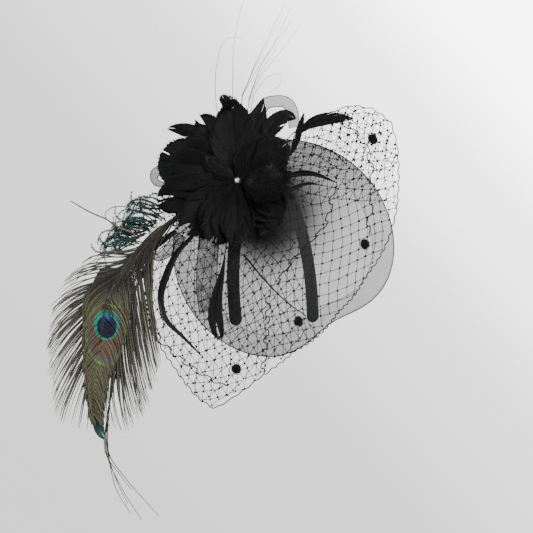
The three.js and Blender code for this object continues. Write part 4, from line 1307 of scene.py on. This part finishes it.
class FASCINATOR_OT_loops(bpy.types.Operator):
    """Loops of crin ribbon with rolled hems, tucked behind the flower."""
    bl_idname = "fascinator.loops"
    bl_label = "Crin loops"

    def execute(self, context):
        look = context.scene.fascinator_crin
        weave = crin_finish("crin ribbon", look.pitch / MM, 0.46)
        hemmed = thread_finish("crin ribbon hem", 0.004)
        for name, width, roll, on_veil, route in LOOPS:
            place = over_veil(route) if on_veil else np.array(route, float)
            strip, hems = ribbon(place, width, OUTWARD, roll)
            piece = thicken(make_piece(f"{name}_ribbon", [strip], weave, [name]), 0.3)
            make_piece(f"{name}_hems", [hems], hemmed)
        return {"FINISHED"}


HAIRS = [
    [(-67, 195, 36), (-67, 218, 36), (-66, 243, 37), (-62, 268, 38), (-56, 286, 40)],
    [(-83, 185, 33), (-84, 205, 32), (-83, 222, 30), (-79, 240, 30), (-74, 249, 32), (-64, 251, 34),
     (-57, 249, 36)],
    [(-58, 195, 44), (-52, 208, 46), (-46, 223, 48), (-36, 243, 52), (-28, 259, 55), (-17, 280, 58)],
    [(-51, 193, 38), (-47, 205, 39), (-41, 221, 40), (-31, 238, 43), (-21, 257, 45), (-11, 280, 48)],
    [(-47, 196, 32), (-37, 210, 31), (-29, 215, 31), (-21, 215, 31), (-22, 206, 31), (-32, 198, 31)],
]


class FASCINATOR_OT_hairs(bpy.types.Operator):
    """Stripped feather hairs that rise from behind the flower."""
    bl_idname = "fascinator.hairs"
    bl_label = "Hair whisps"

    def execute(self, context):
        horn = horn_finish("stripped hair", (0.02, 0.02, 0.018), 0.5)
        for i, route in enumerate(HAIRS):
            line = smooth_route(route, 70)
            start = line[0] + np.array([-0.2 * (line[0][0] + 62), -16.0, 0.0])
            line = np.concatenate([smooth_route([start, line[0]], 8)[:-1], line])
            taper = 0.75 - 0.45 * np.linspace(0, 1, len(line))
            parts = [tubes(line[None], taper, sides=5)]
            if i in (2, 3):
                for k in (-1, 1):
                    drift = np.outer(np.linspace(0, 1, len(line)) ** 1.3,
                                     [k * 5.5 + i, -6.0 - 4 * i, 2.0 * k])
                    parts.append(tubes((line + drift)[None], taper * 0.75, sides=4))
            make_piece(f"hair_{i + 1}", parts, horn, [f"hair_whisp_{i + 1}"])
        return {"FINISHED"}


RACHIS = [(-108, 84, 69), (-128, 72, 71), (-145, 60, 70), (-161, 40, 66), (-177, 17, 63), (-186, -2, 61),
          (-189, -24, 59), (-194, -58, 56), (-200, -92, 53), (-203, -114, 51)]
EYE = np.array([-187.0, -24.7])
LEFT_TIPS = [(-200, 34), (-231, 10), (-240, -24), (-243, -42), (-240, -78), (-238, -100), (-234, -112),
             (-222, -120),
             (-203, -121)]
RIGHT_TIPS = [(-141, -26), (-138, -64), (-146, -90), (-151, -106), (-159, -114), (-170, -123), (-184, -123)]
CORE_EDGE = [(46, -168, -150), (27, -196, -164), (8, -206, -167), (-10, -208, -165), (-29, -208, -166),
             (-48, -209, -172), (-67, -208, -181), (-86, -207, -188), (-105, -204, -190), (-119, -200, -191)]


def with_eye_uv(part):
    """The part with its UV in millimetres from the middle of the eye, so that the rings cross unbroken."""
    verts, quads, tris, _ = part
    return verts, quads, tris, (verts[:, :2] - EYE) / UV_MM


def whiskers(paths, length, lean, rng, each=40, thick=0.28):
    """Barbules: short fibres on both sides of every path, leaning forward along it."""
    count, steps, _ = paths.shape
    at = rng.uniform(0.05, 0.98, (count, each)) * (steps - 1)
    low = np.minimum(at.astype(int), steps - 2)
    f = (at - low)[..., None]
    rows = np.arange(count)[:, None]
    root = paths[rows, low] * (1 - f) + paths[rows, low + 1] * f
    way = unit(paths[rows, low + 1] - paths[rows, low])
    side = unit(np.cross(way, OUTWARD)) * rng.choice([-1, 1], (count, each, 1))
    side = side + rng.normal(0, 0.35, side.shape)
    slant = way * math.cos(lean) + side * math.sin(lean)
    tip = root + slant * length * rng.uniform(0.6, 1.15, (count, each, 1))
    root, way, tip = (v.reshape(-1, 3) for v in (root, way, tip))
    middle = (root + tip) / 2 + way * length * 0.15
    return tubes(bezier(root, middle, middle, tip, 4), thick * np.array([[1, 0.9, 0.6, 0.2]]), sides=3)


class FASCINATOR_OT_peacock(bpy.types.Operator):
    """The eye feather with its core and loose barbs, the sword, the curled teal herls and bare stubs."""
    bl_idname = "fascinator.peacock"
    bl_label = "Peacock spray"

    def execute(self, context):
        look = context.scene.fascinator_peacock
        rng = seeded("peacock")
        line = smooth_route(RACHIS, 240)
        run = unit(np.gradient(line, axis=0))
        tan = horn_finish("tan quill", (0.06, 0.046, 0.03), 0.5)
        bronze = barb_finish("bronze green barbs", (0.012, 0.011, 0.010), (0.070, 0.067, 0.045),
                             (0.125, 0.118, 0.086),
                             (0.035, 0.036, 0.032))
        edges = np.array(CORE_EDGE, float)[::-1]

        # Dense core: short barbs laid close on both sides of the quill, from above the eye to the tip.
        cores = []
        for hand, column in ((-1, 1), (1, 2)):
            s = np.sort(rng.uniform(0.34, 0.985, 230))
            at = (s * 239).astype(int)
            root = line[at]
            drop = 36 * np.clip(1.15 - s, 0.12, 0.8) + 8
            b = np.maximum(root[:, 1] - drop, -119 - rng.uniform(0, 3, len(s)))
            a = np.interp(b, edges[:, 0], edges[:, column]) + hand * rng.uniform(-2.5, 1.5, len(s))
            n = root[:, 2] + 1.0 * rng.normal(0, 1, len(s)) - 0.02 * np.abs(a - root[:, 0])
            tip = np.stack([a, b, n], -1)
            reach = np.linalg.norm(tip - root, axis=1)[:, None]
            out = np.stack([np.full(len(s), hand), 0 * s, 0 * s], -1)
            cores.append(bezier(root, root + (run[at] * 0.25 + out * 0.22) * reach,
                                tip + [0, 1, 0] * reach * 0.38, tip, 16))
        cores = np.concatenate(cores)
        taper = 2.3 * np.sin(np.linspace(0.5, 2.85, 16))[None]
        rows, cols = np.linspace(30, -112, 60), np.linspace(0.06, 0.94, 14)
        low, high = (np.interp(rows, edges[:, 0], edges[:, k]) for k in (1, 2))
        a = low[:, None] + (high - low)[:, None] * cols
        order = np.argsort(line[:, 1])
        droop = 0.012 * (a - a.mean(1)[:, None]) ** 2 * 0.3
        n = np.interp(rows, line[order, 1], line[order, 2])[:, None] - 2.2 - droop
        back = sheet_grid(np.stack(np.broadcast_arrays(a, rows[:, None], n), -1), np.zeros((60, 14, 2)))
        finish = eye_finish("peacock eye", look)
        make_piece("eye_feather_core", [with_eye_uv(tubes(cores, taper, 0.35, sides=4))], finish,
                   ["eye_feather_vane"])
        under = make_piece("eye_feather_backing", [with_eye_uv(back)], finish)
        thicken(under, 0.3)

        # Loose barbs: long strands in small clumps that leave the quill and hang down past the core.
        loose = []
        for hand, tips, first, last, crowd in ((-1, LEFT_TIPS, 0.24, 0.62, 0.72),
                                               (1, RIGHT_TIPS, 0.17, 0.54, 0.85)):
            count = look.barbs
            evenly = np.linspace(0.0, 1, count // 3) ** crowd
            clumps = np.sort(evenly + rng.normal(0, 0.012, count // 3)).clip(0, 1)
            member = np.sort(rng.integers(0, len(clumps), count))
            share = clumps[member]
            s = first + (last - first) * share ** 1.15 + rng.normal(0, 0.014, count)
            at = np.clip(s * 239, 0, 239).astype(int)
            way = smooth_route(np.c_[tips, np.zeros(len(tips))], 200)
            stray = np.c_[rng.normal(0, 1.5, (count, 1)), rng.normal(0, 4, (count, 1)), np.zeros((count, 1))]
            tip = way[(share * 199).astype(int)] + stray
            tip[:, 2] = np.interp(tip[:, 1], line[order, 1], line[order, 2]) + rng.normal(0, 3.0, count) - 3
            root = line[at] + rng.normal(0, 0.4, (count, 3))
            reach = np.linalg.norm(tip - root, axis=1)[:, None]
            out = np.stack([np.full(count, hand), 0 * s, 0 * s], -1)
            down = np.array([0.0, 1.0, 0.0])
            follow, spread = (0.36, 0.06) if hand < 0 else (0.34, 0.25)
            first_bend = root + (run[at] * follow + out * spread) * reach
            flare = (0.42 - 0.38 * share if hand < 0 else 0.08 + 0.08 * share)[:, None]
            curl = out * flare * rng.uniform(0.6, 1.3, (count, 1))
            loose.append(bezier(root, first_bend, tip + (down * 0.36 - curl) * reach, tip, 26))
        near = line[rng.integers(2, 30, 90)]
        far_at = rng.integers(55, 96, 90)
        spread = rng.uniform(-1, 1, 90)
        far = line[far_at] + np.c_[spread * 9 - 2, -10 - 8 * np.abs(spread), rng.normal(-1, 1.5, 90)]
        far[:, 1] = np.maximum(far[:, 1], rng.uniform(6, 16, 90))
        pull = np.linalg.norm(far - near, axis=1)[:, None]
        mantle = bezier(near + rng.normal(0, 0.8, (90, 3)),
                        near + run[12] * pull * 0.4 + rng.normal(0, 1.2, (90, 3)),
                        far - run[far_at] * pull * 0.35, far, 26)
        loose = np.concatenate(loose)
        taper = 1.5 * np.sin(np.linspace(0.6, 2.9, 26))[None] * rng.uniform(0.7, 1.15, (len(loose), 1))
        make_piece("eye_feather_barbs", [tubes(loose, taper, 0.4, sides=4)], bronze)
        dusk = barb_finish("dark root barbs", (0.010, 0.009, 0.009), (0.020, 0.019, 0.015),
                           (0.045, 0.042, 0.028),
                           (0.03, 0.02, 0.014))
        mantle_taper = 1.5 * np.sin(np.linspace(0.4, 2.9, 26))[None]
        make_piece("eye_feather_mantle",
                   [tubes(mantle, mantle_taper, 0.4, sides=4), whiskers(mantle, 1.6, 0.6, rng, 40,
                   0.25)], dusk)
        make_piece("eye_feather_barbules", [whiskers(loose, 1.5, 0.6, rng, 60, 0.22)], bronze)
        shaft = line[line[:, 1] > -4]
        taper = 1.9 - 1.4 * np.linspace(0, 1, len(shaft))
        make_piece("eye_feather_rachis", [tubes(shaft[None] + [0, 0, 0.3], taper, sides=8)], tan,
                   ["eye_feather_quill"])

        # Sword: a bundle that runs behind the core and ends in wisps, with a teal tip beside them.
        spine = np.array([(-150, 30, 50), (-168, -10, 46), (-178, -60, 42), (-186, -112, 38),
                          (-187, -146, 36)], float)
        wisps = [(-176, -178, 34, -155, -213, 31), (-178, -176, 36, -168, -197, 34),
                 (-175, -170, 33, -164, -184, 32),
                 (-171, -171, 37, -138, -209, 34), (-180, -180, 35, -166, -206, 33)]
        runs = []
        for x1, y1, z1, x2, y2, z2 in wisps:
            nudge = rng.normal(0, 0.8, (len(spine), 3)) * [1.3, 0, 1]
            runs.append(smooth_route(np.vstack([spine + nudge, [(x1, y1, z1), (x2, y2, z2)]]), 90))
        runs = np.stack(runs)
        taper = 2.0 - 1.4 * np.linspace(0, 1, 90)[None]
        make_piece("sword_wisps", [tubes(runs, taper, 0.5, sides=4),
                                   whiskers(runs, 1.6, 0.5, rng, 90, 0.2)], dusk,
                   ["sword_feather"])
        teal = barb_finish("teal herl", (0.010, 0.016, 0.014), (0.008, 0.052, 0.044), (0.008, 0.085, 0.065),
                           (0.02, 0.022, 0.016))
        sheets, shaft = vane([(-196, -104, 47), (-196, -116, 46), (-194, -126, 45), (-190, -135, 44)], 11,
                             OUTWARD, rng,
                             "leaf", 50, splits=4)
        sheets = [(v, q, t, np.tile([[0.7, 0.3]], (len(v), 1)) + u * 0.1) for v, q, t, u in sheets]
        thicken(make_piece("sword_teal_tip", sheets, teal), 0.25)

        # Curled herls, with their barbules, behind the root of the eye feather.
        count = 60
        share = rng.uniform(0, 1, count)
        root = np.outer(1 - share, (-126, 90, 57)) + np.outer(share, (-160, 52, 60))
        root = root + rng.normal(0, 2.5, (count, 3))
        span = rng.uniform(18, 38, count)[:, None]
        swing = np.radians(166 + 22 * share + rng.normal(0, 8, count))[:, None]
        way = np.c_[np.cos(swing), np.sin(swing), 0 * swing]
        lift = np.c_[-np.sin(swing), np.cos(swing), 0 * swing]
        bow = np.where(rng.uniform(0, 1, (count, 1)) < 0.75, -1.0, 0.8) * rng.uniform(0.7, 1.3, (count, 1))
        herls = bezier(root, root + way * span * 0.5 + lift * bow * span * 0.28,
                       root + way * span * 1.05 + lift * bow * span * 0.3 + rng.normal(0, 1, (count, 3)),
                       root + way * span * 1.0 - lift * bow * span * rng.uniform(0.05, 0.45, (count, 1)), 34)
        make_piece("herl_tuft_strands", [tubes(herls, 1.3 - 0.7 * np.linspace(0, 1, 34)[None], 0.6,
                                               sides=4)], teal,
                   ["herl_tuft"])
        make_piece("herl_tuft_barbules", [whiskers(herls[:, 4:], 2.7, 0.75, rng, 90, 0.42)], teal)

        stub = smooth_route([(-160, 62, 65), (-178, 70, 66), (-187, 76, 67), (-203, 83, 68),
                             (-220, 93, 69)], 60)
        arc = smooth_route([(-176, 70, 66), (-186, 76, 67), (-187, 82, 67), (-180, 87, 66),
                            (-168, 88, 65)], 60)
        make_piece("bare_stub", [tubes(stub[None], 2.0 - 0.9 * np.linspace(0, 1, 60), sides=8),
                                 tubes(arc[None], 1.0, sides=5)], tan, ["quill_stub"])
        strays = [[(-112, 66, 66), (-143, 40, 64), (-146, 24, 62), (-138, 14, 61)],
                  [(-118, 58, 66), (-140, 28, 62), (-141, 0, 60), (-131, -24, 58)],
                  [(-116, 70, 66), (-150, 44, 64), (-158, 10, 62), (-160, -20, 60)]]
        strays = np.stack([smooth_route(route, 60) for route in strays])
        make_piece("stray_herls", [tubes(strays, 0.9 - 0.5 * np.linspace(0, 1, 60)[None], 0.4, sides=4),
                                   whiskers(strays, 0.9, 0.5, rng, 60, 0.15)], bronze)
        return {"FINISHED"}


# ------------------------------------------------------------------ add-on
STEPS = [FASCINATOR_OT_stage, FASCINATOR_OT_headband, FASCINATOR_OT_clip, FASCINATOR_OT_felt,
         FASCINATOR_OT_saucer,
         FASCINATOR_OT_veil, FASCINATOR_OT_flower, FASCINATOR_OT_puff_and_gem, FASCINATOR_OT_black_feathers,
         FASCINATOR_OT_loops, FASCINATOR_OT_hairs, FASCINATOR_OT_peacock]
SETTINGS = {"fascinator_stage": StageSettings, "fascinator_band": BandSettings,
            "fascinator_crin": CrinSettings,
            "fascinator_veil": VeilSettings, "fascinator_flower": FlowerSettings,
            "fascinator_peacock": PeacockSettings}


class FASCINATOR_PT_panel(bpy.types.Panel):
    """The settings of each group of pieces and the button that builds it"""
    bl_idname = "FASCINATOR_PT_panel"
    bl_label = "Fascinator"
    bl_space_type = "VIEW_3D"
    bl_region_type = "UI"
    bl_category = "Fascinator"

    def draw(self, context):
        for name, group in SETTINGS.items():
            box = self.layout.box()
            for key in group.__annotations__:
                box.prop(getattr(context.scene, name), key)
        for step in STEPS:
            self.layout.operator(step.bl_idname)


def register():
    for group in SETTINGS.values():
        bpy.utils.register_class(group)
    for name, group in SETTINGS.items():
        setattr(bpy.types.Scene, name, bpy.props.PointerProperty(type=group))
    for step in STEPS:
        bpy.utils.register_class(step)
    bpy.utils.register_class(FASCINATOR_PT_panel)


def unregister():
    bpy.utils.unregister_class(FASCINATOR_PT_panel)
    for step in reversed(STEPS):
        bpy.utils.unregister_class(step)
    for name, group in SETTINGS.items():
        delattr(bpy.types.Scene, name)
        bpy.utils.unregister_class(group)


def main():
    register()
    for step in STEPS:
        group, name = step.bl_idname.split(".")
        getattr(getattr(bpy.ops, group), name)()


if __name__ == "__main__":
    main()
